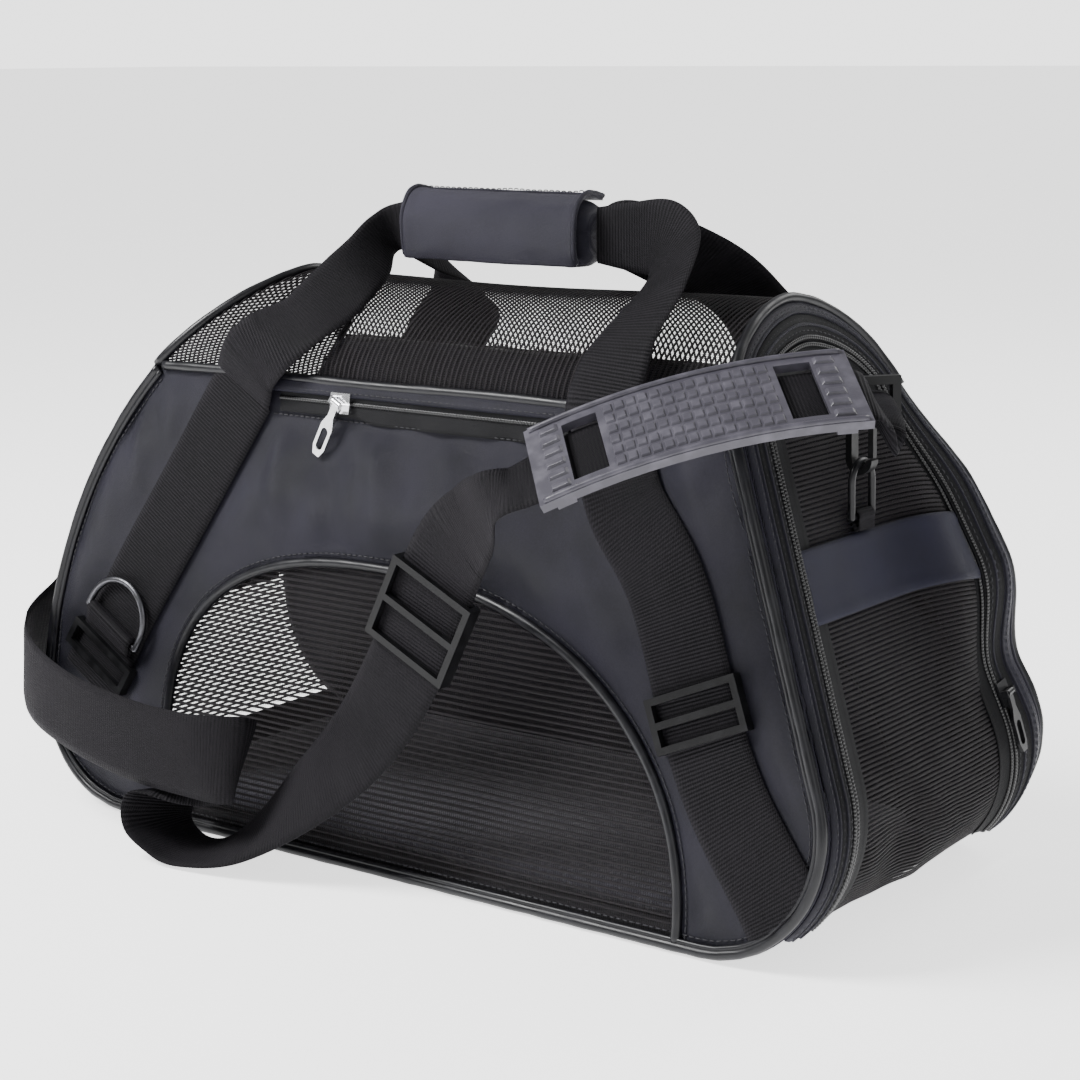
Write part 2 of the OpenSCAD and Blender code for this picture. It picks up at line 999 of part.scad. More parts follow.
module front_ring() {
    color([0.45, 0.45, 0.48])
        on_front_ring()
            translate([0, 0, strap_t + tab_r])
                d_ring(front_ring_w, front_ring_h);
}

/* Carrying handles: webbing that runs free from the seam up to the grip */

// Stations of the webbing: centre, direction across it, width
left_handle = [
    [[-105, -67.4, 204], [0.86, -0.08, -0.5], strap_w],
    [[-99, -69, 215], [0.86, -0.1, -0.5], strap_w],
    [[-87, -68, 225.5], [0.8, -0.25, -0.55], strap_w],
    [[-76, -59, 235], [0.85, -0.35, -0.45], 37],
    [[-69.5, -47, 244.5], [0.85, -0.15, -0.5], 34],
    [[-67, -35, 253.5], [0.8, 0.05, -0.55], 29],
    [[-68, -23, 260], [0.62, 0.35, -0.65], 25],
    [[-70, -13, 267], [0.35, 0.5, -0.78], 22],
    [[-70, -7.5, 270.5], [0.18, 0.4, -0.9], 21],
    [[-67, -4.5, 272.8], [0.08, 0.1, -1], 21],
    [[-62, -3.5, 273.8], [0, 0, -1], 22],
    [[-56.5, -3.5, 274], [0, 0, -1], 24]];
right_handle = [
    [[97, -67.4, 204], [0.96, 0.04, 0.28], strap_w],
    [[95, -69, 213], [0.96, 0, 0.26], strap_w],
    [[97, -60, 234], [0.93, 0, 0.36], strap_w],
    [[100, -42, 252], [0.85, 0.1, 0.5], strap_w],
    [[96, -22, 266], [0.7, 0.1, 0.7], strap_w],
    [[84, -10, 274], [0.35, 0.1, 0.93], 34],
    [[66, -4, 274], [0, 0, 1], 30],
    [[46, -3.5, 274], [0, 0, 1], 24]];
// The rear loop on the door side lies closer to the roof; mirrored into place
rear_right_handle = [
    [[97, -67.4, 204], [0.96, 0.04, 0.28], strap_w],
    [[95, -69, 213], [0.96, 0, 0.26], strap_w],
    [[90, -64, 232], [0.93, 0, 0.36], strap_w],
    [[87, -52, 245], [0.9, 0.1, 0.4], strap_w],
    [[81, -34, 257], [0.8, 0.1, 0.6], strap_w],
    [[71, -17, 266], [0.5, 0.1, 0.85], 34],
    [[58, -4.5, 274], [0, 0, 1], 30],
    [[46, -3.5, 274], [0, 0, 1], 24]];

module front_handle_straps() {
    color([0.08, 0.08, 0.09]) {
        ribbon(left_handle);
        ribbon(right_handle);
    }
}

module rear_handle_straps() {
    color([0.08, 0.08, 0.09])
        mirror([0, 1, 0]) {
            ribbon(left_handle);
            ribbon(rear_right_handle);
        }
}

/* Padded grip */

grip_x = -5.5;
wrap_t = 3;
flap_t = 1.8;
closure_t = 0.7;

// Rounded oval across the grip, grown by d
function grip_oval(d) = [for (t = [0:7.5:352.5])
    [(grip_d / 2 + d) * sign(cos(t)) * pow(abs(cos(t)), 0.75),
        grip_z + (grip_h / 2 + d) * sign(sin(t)) * pow(abs(sin(t)), 0.75)]];

module grip_layer(d0, d1, shorter = 0) {
    along_x(grip_x - grip_len / 2 + shorter, grip_x + grip_len / 2 - shorter)
        difference() {
            polygon(grip_oval(d1));
            polygon(grip_oval(d0));
        }
}

module grip_core() {
    color([0.08, 0.08, 0.09])
        along_x(grip_x - grip_len / 2, grip_x + grip_len / 2)
            polygon(grip_oval(-wrap_t));
}

module grip_wrap() {
    color([0.16, 0.16, 0.20])
        grip_layer(-wrap_t, 0);
}

module grip_closure() {
    color([0.05, 0.05, 0.06])
        intersection() {
            grip_layer(0, closure_t, 6);
            translate([-reach, -reach, grip_z - 10])
                cube([2 * reach, reach, 14]);
        }
}

module grip_flap() {
    color([0.16, 0.16, 0.20])
        intersection() {
            grip_layer(closure_t + gap, closure_t + gap + flap_t, 3);
            translate([-reach, -reach, grip_z - 12])
                cube([2 * reach, reach - 2, grip_h]);
        }
}

/* Shoulder strap, its pad and its adjuster */

pad_at = [158, -100, 216];
pad_turn = [24, -14, 38];
pad_slack = 0.4;
pad_half_a = asin(pad_len / 2 / pad_arch_r);

// Directions along the pad, across it and out of its face
function turn_x(v, a) = [v[0], v[1] * cos(a) - v[2] * sin(a), v[1] * sin(a) + v[2] * cos(a)];
function turn_y(v, a) = [v[0] * cos(a) + v[2] * sin(a), v[1], v[2] * cos(a) - v[0] * sin(a)];
function turn_z(v, a) = [v[0] * cos(a) - v[1] * sin(a), v[0] * sin(a) + v[1] * cos(a), v[2]];
function pad_dir(v) = turn_z(turn_y(turn_x(v, pad_turn[0]), pad_turn[1]), pad_turn[2]);

module on_pad() {
    translate(pad_at)
        rotate(pad_turn)
            children();
}

// Part of the pad's arch between two heights over its underside and two angles
module pad_arc(h0, h1, a0, a1, w) {
    c = [0, -pad_arch_r];
    translate([0, w / 2, 0])
        rotate([90, 0, 0])
            linear_extrude(w)
                polygon(concat(
                    arc(c, pad_arch_r + h1, 90 - a0, 90 - a1),
                    arc(c, pad_arch_r + h0, 90 - a1, 90 - a0)));
}

slot_x = 42;
slot_len = 14;
keeper_a = [10.4, 12];
keeper_t = 1.6;
strap_room = strap_t + 2 * pad_slack;

module shoulder_pad() {
    color([0.42, 0.41, 0.48])
        on_pad() {
            difference() {
                pad_arc(0, pad_t, -pad_half_a, pad_half_a, pad_w);
                for (s = [-1, 1])
                    translate([s * slot_x - slot_len / 2, -strap_w / 2, -20])
                        cube([slot_len, strap_w, 40]);
            }
            for (s = [-1, 1])
                difference() {
                    pad_arc(-strap_room - keeper_t, 0.5, s * keeper_a[0], s * keeper_a[1], strap_w + 5);
                    pad_arc(-strap_room, 0, s * 9, s * 14, strap_w + 1);
                }
        }
}

// Webbing under the pad, at an angle along its arch
function under_pad(a) = [
    pad_at + pad_dir((pad_arch_r - strap_room / 2) * [sin(a), 0, cos(a)] - [0, 0, pad_arch_r]),
    pad_dir([0, -1, 0]),
    strap_w];

adjuster_at = [36, -114, 124];
adjuster_turn = 26;
adjuster_len = 38;
adjuster_front = 2.6;
adjuster_back = 1.6;

// x across the webbing, y up along it, z to the front
module on_adjuster() {
    translate(adjuster_at)
        rotate([0, adjuster_turn, 0])
            rotate([90, 0, 0])
                children();
}

module strap_adjuster() {
    room = strap_t + 2 * gap;
    bars = 3;
    cell_h = (adjuster_len - bars * glide_bar) / 2;
    color([0.08, 0.08, 0.09])
        on_adjuster()
            difference() {
                translate([-glide_w / 2, -adjuster_len / 2, -room / 2 - adjuster_back])
                    cube([glide_w, adjuster_len, adjuster_back + room + adjuster_front]);
                translate([-strap_w / 2 - 0.5, -adjuster_len, -room / 2])
                    cube([strap_w + 1, 2 * adjuster_len, room]);
                for (s = [-1, 1])
                    translate([-strap_w / 2, s * (cell_h + glide_bar) / 2 - cell_h / 2, -10])
                        cube([strap_w, cell_h, 20]);
            }
}

adjuster_up = [sin(adjuster_turn), 0, cos(adjuster_turn)];
adjuster_across = [cos(adjuster_turn), 0, -sin(adjuster_turn)];
function by_adjuster(d) = [adjuster_at + d * adjuster_up, adjuster_across, strap_w];

// Route from the closed end's hook around the corner, over the floor and up to the pad
strap_route = [
    [[-220, 0, 109], [0, 1, 0]],
    [[-228, 0, 112], [0, 1, 0]],
    [[-242, -2, 110], [0, 1, 0.1]],
    [[-250, -14, 100], [0, 0.8, 0.6]],
    [[-248, -34, 88], [0, 0.4, 0.9]],
    [[-243, -62, 78], [0.1, 0.1, 1]],
    [[-230, -92, 69], [0, 0.1, 1]],
    [[-205, -112, 62], [-0.1, 0.1, 1]],
    [[-165, -126, 56], [-0.1, 0, 1]],
    [[-120, -133, 52], [-0.1, 0, 1]],
    [[-84, -134, 51], [-0.1, 0, 1]],
    [[-66, -131, 51], [-0.1, 0.2, 1]],
    [[-60, -124, 50], [0, 0.3, 1]],
    [[-68, -117, 46], [0.3, 0.4, 0.85]],
    [[-92, -116, 38], [0.5, 0.5, 0.7]],
    [[-112, -119, 26], [0.4, 0.9, 0.3]],
    [[-114, -122, 12], [0.1, 1, 0]],
    [[-100, -122, 2.5], [-0.2, 1, 0]],
    [[-82, -121, 4], [-0.3, 0.95, 0.05]],
    [[-58, -119, 16], [-0.5, 0.8, 0.3]],
    [[-30, -116, 38], [-0.7, 0.5, 0.45]],
    [[0, -114, 66], [-0.85, 0.2, 0.45]]];
pad_approach = [
    [[68, -124, 170], [0.85, -0.3, -0.45]],
    [[92, -140, 186], [0.75, -0.5, -0.4]]];

module shoulder_strap() {
    color([0.08, 0.08, 0.09])
        ribbon(concat(
            [for (s = strap_route) [s[0], -s[1], strap_w]],
            [for (d = [-27, 27]) by_adjuster(d)],
            [for (s = pad_approach) [s[0], s[1], strap_w]],
            [for (a = [-14:4:10]) under_pad(a)]));
}

// Free end between the pad and the door's hook, gathered to pass the hook's eye
strap_end_route = [
    [[210, -52.5, 219], [0.7, -0.6, -0.4], 35],
    [[209, -49, 214], [0.8, -0.5, -0.3], 32],
    [[202, -42, 211], [0.95, -0.2, -0.2], 29],
    [[195, -30, 211], [0.95, 0.3, -0.1], 26],
    [[187, -17, 213], [0.82, 0.55, 0], 23],
    [[180, -7, 214.3], [0.78, 0.62, 0], 22],
    [[174.6, 0, 214.5], [0.76, 0.65, 0], 22],
    [[171, 4.3, 214.6], [0.76, 0.65, 0], 22]];

module shoulder_strap_end() {
    color([0.08, 0.08, 0.09])
        ribbon(concat([under_pad(10.1), under_pad(13.4)], strap_end_route));
}

/* Build */

base_panel();
base_board();
fleece_mat();
front_panel();
rear_panel();
front_window();
rear_window();
front_window_piping();
rear_window_piping();
roof_mesh();
front_edge_piping();
rear_edge_piping();
seam_piping();
door_arch_piping();
closed_arch_piping();
door_frame();
frame_zip();
door_mesh();
door_zip();
door_band();
door_ring_tab();
closed_mesh();
closed_band();
closed_ring_tab();
pocket_zip();
pocket_lining();
front_sewn_straps();
rear_sewn_straps();
front_handle_straps();
rear_handle_straps();
grip_core();
grip_wrap();
grip_closure();
grip_flap();
front_ring_tab();
front_ring();
front_left_glide();
front_right_glide();
rear_left_glide();
rear_right_glide();
door_ring();
door_hook();
door_hook_gate();
door_hook_eye();
closed_ring();
closed_hook();
closed_hook_gate();
closed_hook_eye();
pocket_slider();
pocket_pull();
door_slider();
door_pull();
shoulder_pad();
strap_adjuster();
shoulder_strap();
shoulder_strap_end();
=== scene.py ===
import math

import bpy
import numpy as np
from mathutils import Matrix, Vector, noise
from mathutils.geometry import delaunay_2d_cdt


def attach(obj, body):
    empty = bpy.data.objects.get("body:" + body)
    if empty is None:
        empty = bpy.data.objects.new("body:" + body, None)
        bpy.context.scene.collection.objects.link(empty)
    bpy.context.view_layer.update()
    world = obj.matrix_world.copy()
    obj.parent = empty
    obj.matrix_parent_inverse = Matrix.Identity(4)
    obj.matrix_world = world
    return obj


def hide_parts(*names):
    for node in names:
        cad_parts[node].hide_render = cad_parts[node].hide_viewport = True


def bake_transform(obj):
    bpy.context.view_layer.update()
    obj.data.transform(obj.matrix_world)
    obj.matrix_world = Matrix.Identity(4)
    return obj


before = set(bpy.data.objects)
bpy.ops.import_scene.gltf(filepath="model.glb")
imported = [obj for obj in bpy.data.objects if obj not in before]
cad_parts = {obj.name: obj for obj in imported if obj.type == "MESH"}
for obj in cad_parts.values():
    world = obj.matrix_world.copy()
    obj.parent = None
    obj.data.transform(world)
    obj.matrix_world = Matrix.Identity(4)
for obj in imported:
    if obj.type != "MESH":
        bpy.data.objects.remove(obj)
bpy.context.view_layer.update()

MM = 0.001

# ---------------------------------------------------------------- camera


def make_camera():
    azimuth, elevation, roll = (math.radians(a) for a in (36.61, 11.47, -0.36))
    back = Vector((
        math.sin(azimuth) * math.cos(elevation),
        -math.cos(azimuth) * math.cos(elevation),
        math.sin(elevation)))
    level = Vector((math.cos(azimuth), math.sin(azimuth), 0))
    right = math.cos(roll) * level + math.sin(roll) * back.cross(level)
    up = back.cross(right)
    turn = Matrix((right, up, back)).transposed().to_4x4()
    camera = bpy.data.objects.new("camera", bpy.data.cameras.new("camera"))
    camera.matrix_world = Matrix.Translation((0.6499, -0.8593, 0.3528)) @ turn
    camera.data.sensor_width = 36
    camera.data.lens = 80.71
    camera.data.clip_end = 200
    bpy.context.scene.collection.objects.link(camera)
    bpy.context.scene.camera = camera


make_camera()

# ---------------------------------------------------------------- materials


class Finish:
    """A node material with a Principled shader, put together from short calls, in millimetres."""

    def __init__(self, name, colour, roughness, **sockets):
        self.material = bpy.data.materials.new(name)
        self.material.use_nodes = True
        self.tree = self.material.node_tree
        self.shader = self.tree.nodes["Principled BSDF"]
        self.shader.inputs["Base Color"].default_value = (*colour, 1)
        self.shader.inputs["Roughness"].default_value = roughness
        for socket, value in sockets.items():
            value = (*value, 1) if isinstance(value, tuple) else value
            self.shader.inputs[socket.replace("_", " ")].default_value = value
        self.height = None

    def node(self, kind, **inputs):
        made = self.tree.nodes.new(kind)
        for key, value in inputs.items():
            self.feed(made.inputs[key.replace("_", " ")], value)
        return made

    def feed(self, socket, value):
        if isinstance(value, bpy.types.NodeSocket):
            self.tree.links.new(value, socket)
        else:
            socket.default_value = value

    def weave(self):
        """Place on the cloth: along it, across it."""
        source = self.tree.nodes.new("ShaderNodeAttribute")
        source.attribute_name = "weave"
        return source.outputs["Vector"]

    def place(self):
        """Place in the bag's frame."""
        source = self.tree.nodes.new("ShaderNodeTexCoord")
        scaled = self.tree.nodes.new("ShaderNodeVectorMath")
        scaled.operation = "MULTIPLY"
        self.feed(scaled.inputs[0], source.outputs["Object"])
        scaled.inputs[1].default_value = (1 / MM, 1 / MM, 1 / MM)
        return scaled.outputs["Vector"]

    def part(self, vector, axis):
        return self.node("ShaderNodeSeparateXYZ", Vector=vector).outputs[axis]

    def math(self, operation, a, b=0.0):
        made = self.tree.nodes.new("ShaderNodeMath")
        made.operation = operation
        self.feed(made.inputs[0], a)
        self.feed(made.inputs[1], b)
        return made.outputs[0]

    def wave(self, value, pitch, shift=0.0):
        turned = self.math("MULTIPLY", value, 2 * math.pi / pitch)
        return self.math("SINE", self.math("ADD", turned, shift))

    def noise(self, vector, size, detail=2.0):
        made = self.node("ShaderNodeTexNoise", Vector=vector, Scale=1 / size, Detail=detail)
        return made.outputs["Fac"]

    def ramp(self, value, low, high, out_low=0.0, out_high=1.0):
        made = self.tree.nodes.new("ShaderNodeMapRange")
        self.feed(made.inputs["Value"], value)
        ends = {"From Min": low, "From Max": high, "To Min": out_low, "To Max": out_high}
        for socket, number in ends.items():
            made.inputs[socket].default_value = number
        return made.outputs["Result"]

    def colour(self, amount, first, second):
        made = self.tree.nodes.new("ShaderNodeMix")
        made.data_type = "RGBA"
        self.feed(made.inputs[0], amount)
        for socket, number in zip([s for s in made.inputs if s.type == "RGBA"], (first, second)):
            socket.default_value = (*number, 1)
        out = next(s for s in made.outputs if s.type == "RGBA")
        self.tree.links.new(out, self.shader.inputs["Base Color"])

    def rough(self, value, low, high):
        self.tree.links.new(self.ramp(value, 0.3, 0.7, low, high), self.shader.inputs["Roughness"])

    def bump(self, value, depth):
        made = self.node("ShaderNodeBump", Height=value, Distance=depth * MM, Strength=1.0)
        if self.height:
            self.tree.links.new(self.height, made.inputs["Normal"])
        self.height = made.outputs["Normal"]
        self.tree.links.new(self.height, self.shader.inputs["Normal"])


def woven(name, dark, light, pitch, roughness=0.5, depth=0.06, **sockets):
    """Plain weave: threads over and under each other, with soft patches of wear."""
    made = Finish(name, dark, roughness, **sockets)
    along, across = (made.part(made.weave(), axis) for axis in "XY")
    threads = made.math("MULTIPLY", made.wave(along, pitch), made.wave(across, pitch))
    patches = made.noise(made.place(), 38, 3)
    grain = made.noise(made.place(), 0.9, 2)
    tone = made.math("ADD", patches, made.math("MULTIPLY", grain, 0.5))
    made.colour(made.ramp(tone, 0.5, 1.0), dark, light)
    made.rough(patches, roughness - 0.06, roughness + 0.08)
    made.bump(threads, depth)
    made.bump(grain, depth)
    return made.material


def ribbed(name, dark, light, pitch, **sockets):
    """Webbing: close ribs across it, with a fine twill in them."""
    made = Finish(name, dark, 0.6, **sockets)
    along, across = (made.part(made.weave(), axis) for axis in "XY")
    slant = made.math("ADD", made.math("MULTIPLY", along, 0.6), across)
    twill = made.wave(slant, 0.9)
    fuzz = made.noise(made.place(), 0.5, 3)
    patches = made.noise(made.place(), 26, 2)
    tone = made.math("ADD", made.math("MULTIPLY", made.wave(along, pitch), 0.22), fuzz)
    worn = made.math("ADD", tone, made.math("MULTIPLY", patches, 0.4))
    made.colour(made.ramp(worn, 0.4, 1.0), dark, light)
    made.rough(patches, 0.52, 0.68)
    made.bump(twill, 0.05)
    made.bump(fuzz, 0.08)
    return made.material


def moulded(name, dark, light, roughness, grain=0.02, **sockets):
    """Moulded or painted surface: fine grain and a few scuffs."""
    made = Finish(name, dark, roughness, **sockets)
    scuffs = made.noise(made.place(), 7, 4)
    made.colour(made.ramp(scuffs, 0.45, 0.75), dark, light)
    made.rough(scuffs, roughness - 0.05, roughness + 0.1)
    made.bump(made.noise(made.place(), 0.6, 2), grain)
    return made.material


def metal(name, colour, tarnish, roughness):
    made = Finish(name, colour, roughness, Metallic=1.0)
    stains = made.noise(made.place(), 4, 3)
    made.colour(made.ramp(stains, 0.5, 0.8), colour, tarnish)
    made.rough(stains, roughness, roughness + 0.15)
    made.bump(made.noise(made.place(), 1.2, 2), 0.01)
    return made.material


def net_ground():
    """Open ground of the net between its ribs: thin threads with holes between them."""
    made = Finish("net_ground", (0.02, 0.018, 0.02), 0.75, Specular_IOR_Level=0.15)
    along, across = (made.part(made.weave(), axis) for axis in "XY")
    wander = made.math("MULTIPLY", made.noise(made.place(), 3, 2), 0.4)
    threads = made.wave(made.math("ADD", along, wander), 1.1)
    cover = made.ramp(threads, 0.55, 0.95, 0.04, 0.8)
    edges = made.ramp(made.wave(across, NET_PITCH / 2), 0.8, 0.98, 0.0, 0.5)
    made.tree.links.new(made.math("MAXIMUM", cover, edges), made.shader.inputs["Alpha"])
    made.colour(made.noise(made.place(), 5, 2), (0.010, 0.009, 0.010), (0.035, 0.031, 0.032))
    made.bump(threads, 0.05)
    return made.material


def fleece():
    made = Finish("fleece", (0.03, 0.029, 0.042), 0.95, Sheen_Weight=0.25, Sheen_Roughness=0.6)
    tufts = made.noise(made.place(), 2.2, 4)
    made.colour(made.ramp(tufts, 0.35, 0.7), (0.018, 0.017, 0.028), (0.05, 0.048, 0.068))
    made.rough(tufts, 0.85, 1.0)
    made.bump(tufts, 1.2)
    made.bump(made.noise(made.place(), 14, 2), 2.0)
    return made.material


NET_PITCH = 2.7
POLYESTER = woven("polyester", (0.0055, 0.0055, 0.0085), (0.015, 0.014, 0.022), 0.55, 0.42,
                  Specular_IOR_Level=0.16, Sheen_Weight=0.06, Sheen_Roughness=0.3,
                  Sheen_Tint=(0.72, 0.70, 1.0))
BAND = woven("band_cloth", (0.005, 0.005, 0.012), (0.010, 0.010, 0.024), 0.5, 0.5,
             Specular_IOR_Level=0.15, Sheen_Weight=0.04, Sheen_Roughness=0.4, Sheen_Tint=(0.7, 0.7, 1.0))
GRIP_CLOTH = woven("grip_cloth", (0.012, 0.0115, 0.018), (0.024, 0.0225, 0.034), 0.6, 0.5, 0.08,
                   Specular_IOR_Level=0.2, Sheen_Weight=0.08, Sheen_Roughness=0.4,
                   Sheen_Tint=(0.85, 0.8, 1.0))
TAPE = woven("zip_tape", (0.003, 0.003, 0.004), (0.010, 0.010, 0.011), 0.8, 0.65, 0.08,
             Specular_IOR_Level=0.15)
WEBBING = ribbed("webbing", (0.0025, 0.0025, 0.003), (0.015, 0.0138, 0.016), 1.5,
                 Specular_IOR_Level=0.06, Sheen_Weight=0.025, Sheen_Roughness=0.4,
                 Sheen_Tint=(0.9, 0.85, 1.0))
RIB = ribbed("net_rib", (0.005, 0.0045, 0.0055), (0.026, 0.022, 0.026), 0.8,
             Specular_IOR_Level=0.12, Sheen_Weight=0.03)
NET = net_ground()
PIPING = moulded("piping_vinyl", (0.003, 0.003, 0.0045), (0.007, 0.007, 0.010), 0.36, 0.03,
                  Specular_IOR_Level=0.35)
THREAD = moulded("thread", (0.008, 0.008, 0.011), (0.022, 0.021, 0.027), 0.6)
COIL = moulded("zip_coil", (0.003, 0.003, 0.0035), (0.010, 0.010, 0.011), 0.35)
PLASTIC = moulded("black_plastic", (0.003, 0.003, 0.0035), (0.008, 0.008, 0.009), 0.38, 0.04,
                  Specular_IOR_Level=0.2)
RUBBER = moulded("pad_rubber", (0.050, 0.047, 0.060), (0.085, 0.080, 0.100), 0.34, 0.05,
                 Specular_IOR_Level=0.4)
BOARD = moulded("board", (0.02, 0.02, 0.024), (0.04, 0.04, 0.044), 0.7)
ENAMEL = moulded("black_enamel", (0.004, 0.004, 0.005), (0.016, 0.016, 0.018), 0.3,
                 Specular_IOR_Level=0.3)
CHROME = metal("chrome", (0.82, 0.82, 0.84), (0.55, 0.54, 0.53), 0.16)
GUNMETAL = metal("gunmetal", (0.10, 0.10, 0.11), (0.05, 0.05, 0.05), 0.26)
FLEECE = fleece()

# ---------------------------------------------------------------- shape of the bag, in millimetres

BASE_DEPTH, SHOULDER_DEPTH = 190.0, 128.0
SHOULDER_Z, RIDGE_Z = 210.0, 252.0
DOOR_X, DOOR_R, DOOR_LEAN = 160.0, 52.0, math.radians(21)
CLOSED_X, CLOSED_R, BULGE_R = 163.0, 60.0, 215.0
HINGE_Z, ZIP_FOOT = 14.0, 16.0
BAND_Z, BAND_H, CLOSED_BAND_Z = 130.0, 28.0, 75.0
STRAP_W, BEAD_R = 38.0, 2.2
ARCH_POWER = 1.7
CLOSED_C = CLOSED_X + CLOSED_R - BULGE_R
CLOSED_TOP = math.asin((SHOULDER_Z - CLOSED_R) / BULGE_R)
SIDE_SLOPE = (BASE_DEPTH - SHOULDER_DEPTH) / 2 / SHOULDER_Z
SIDE_LEAN = math.atan(SIDE_SLOPE)


def bump_of(value, centre, width):
    """Soft hump from 0 to 1 to 0."""
    return np.exp(-(((np.asarray(value, float) - centre) / width) ** 2))


def step_of(value, low, high):
    t = np.clip((np.asarray(value, float) - low) / (high - low), 0, 1)
    return t * t * (3 - 2 * t)


def half_width(z, inset=0.0):
    """Half depth of the bag's section at a height: leaning walls, then the arched roof."""
    z = np.asarray(z, float)
    wall = BASE_DEPTH / 2 - SIDE_SLOPE * z - inset / math.cos(SIDE_LEAN)
    rise = np.clip((z - SHOULDER_Z) / (RIDGE_Z - SHOULDER_Z - inset), 0, 1) ** (ARCH_POWER / 2)
    roof = (SHOULDER_DEPTH / 2 - inset) * np.clip(1 - rise**2, 0, 1) ** (1 / ARCH_POWER)
    return np.where(z <= SHOULDER_Z, wall, roof)


def roof_arch(inset=0.0, steps=40):
    """(y, z) over the roof from the front seam to the rear one."""
    t = np.linspace(0, math.pi, steps)
    rise, run = np.sin(t) ** (2 / ARCH_POWER), np.abs(np.cos(t)) ** (2 / ARCH_POWER)
    y = -np.sign(np.cos(t)) * (SHOULDER_DEPTH / 2 - inset) * run
    return np.stack([y, SHOULDER_Z + (RIDGE_Z - SHOULDER_Z - inset) * rise], 1)


def hoop(inset, low=HINGE_Z):
    """(y, z) from the foot of the door end, over the roof and down to its other foot."""
    z = np.linspace(low, SHOULDER_Z, 60)[:-1]
    up = np.stack([-half_width(z, inset), z], 1)
    down = up[::-1] * [-1, 1]
    return np.concatenate([up, roof_arch(inset, 48), down])


def end_x(z, out, centre, radius, turn):
    """x and z of a rounded end that goes straight on from an angle."""
    angle = np.arcsin(np.clip((z - centre[1]) / radius, -1, math.sin(turn)))
    past = np.maximum(z - centre[1] - radius * math.sin(turn), 0)
    x = centre[0] + (radius + out) * np.cos(angle) - past * math.tan(turn)
    return x, centre[1] + (radius + out) * np.sin(angle) + past


def door_at(y, z, out=0.0):
    """Points on the door end, out from its outer face."""
    y, z = np.broadcast_arrays(np.asarray(y, float), np.asarray(z, float))
    x, height = end_x(z, out, (DOOR_X, DOOR_R), DOOR_R, DOOR_LEAN)
    return np.stack([x, y, height], -1)


def closed_at(y, z, out=0.0):
    """Points on the closed end, out from its outer face."""
    y, z = np.broadcast_arrays(np.asarray(y, float), np.asarray(z, float))
    low_x, low_z = end_x(z, out, (CLOSED_X, CLOSED_R), CLOSED_R, math.pi / 2)
    high_x, high_z = end_x(z, out, (CLOSED_C, CLOSED_R), BULGE_R, CLOSED_TOP)
    low = z < CLOSED_R
    return np.stack([-np.where(low, low_x, high_x), y, np.where(low, low_z, high_z)], -1)


def panel_at(x, z, out=0.0, side=-1):
    """Points on the front (side -1) or rear panel, out from its outer face."""
    x, z, out = np.broadcast_arrays(*(np.asarray(v, float) for v in (x, z, out)))
    y = BASE_DEPTH / 2 - SIDE_SLOPE * z + math.cos(SIDE_LEAN) * out
    return np.stack([x, side * y, z + math.sin(SIDE_LEAN) * out], -1)


def side_normal(side):
    return np.array([0, side * math.cos(SIDE_LEAN), math.sin(SIDE_LEAN)])


def side_path(inset=0.0):
    """(x, z) round the bag's side from the door's shoulder, under the floor, to the closed shoulder."""
    z = np.linspace(SHOULDER_Z, 0.6, 70)
    door = door_at(0, z, -inset)[:, [0, 2]]
    closed = closed_at(0, z[::-1], -inset)[:, [0, 2]]
    floor = np.stack([np.linspace(DOOR_X, -CLOSED_X, 60), np.full(60, inset)], 1)
    return np.concatenate([door, floor, closed])


# How the filled cloth gives: the rear half of the door end swells, the roof sags between the handles
def soften(points):
    p = np.array(points, float)
    x, y, z = p[..., 0], p[..., 1], p[..., 2]
    rear = step_of(y, 18, 74)
    high = step_of(z, 88, 140) * (1 - step_of(z, 165, 232))
    p[..., 0] += 17 * rear * step_of(x, 130, 178) * high
    p[..., 1] += 9 * step_of(y, 30, 80) * step_of(x, 135, 180) * high
    low = step_of(y, 68, 90) * step_of(x, 150, 195) * bump_of(z, 84, 42)
    p[..., 0] += 7 * low
    p[..., 1] += 9 * low
    sag = step_of(z, 235, 251) * bump_of(x, 0, 75)
    p[..., 2] -= 2.0 * sag
    return p


# ---------------------------------------------------------------- mesh building


def resample(path, step):
    """The path again, with points about step apart."""
    path = np.asarray(path, float)
    gaps = np.linalg.norm(np.diff(path, axis=0), axis=1)
    keep = np.concatenate([[True], gaps > 1e-6])
    path = path[keep]
    along = gone(path)
    at = np.linspace(0, along[-1], max(3, round(along[-1] / step) + 1))
    return np.stack([np.interp(at, along, path[:, k]) for k in range(path.shape[1])], 1)


def spline(points, per=12):
    """Catmull-Rom curve through rows of numbers, centripetal enough for short steps."""
    p = np.asarray(points, float)
    p = np.concatenate([[2 * p[0] - p[1]], p, [2 * p[-1] - p[-2]]])
    rows = []
    for a, b, c, d in zip(p[:-3], p[1:-2], p[2:-1], p[3:]):
        for t in np.arange(per) / per:
            rows.append(0.5 * (2 * b + (c - a) * t + (2 * a - 5 * b + 4 * c - d) * t**2
                               + (3 * b - a - 3 * c + d) * t**3))
    rows.append(p[-2])
    return np.array(rows)


def unit(v):
    return v / np.maximum(np.linalg.norm(v, axis=-1, keepdims=True), 1e-9)


def gone(path):
    """Length gone at each point of a path."""
    return np.concatenate([[0], np.cumsum(np.linalg.norm(np.diff(path, axis=0), axis=1))])


def rippled(y, z, long, high, seed):
    """Smooth noise over a panel, with waves about so long and so high."""
    return np.vectorize(lambda a, b: noise.noise(Vector((a / long, b / high, seed))))(y, z)


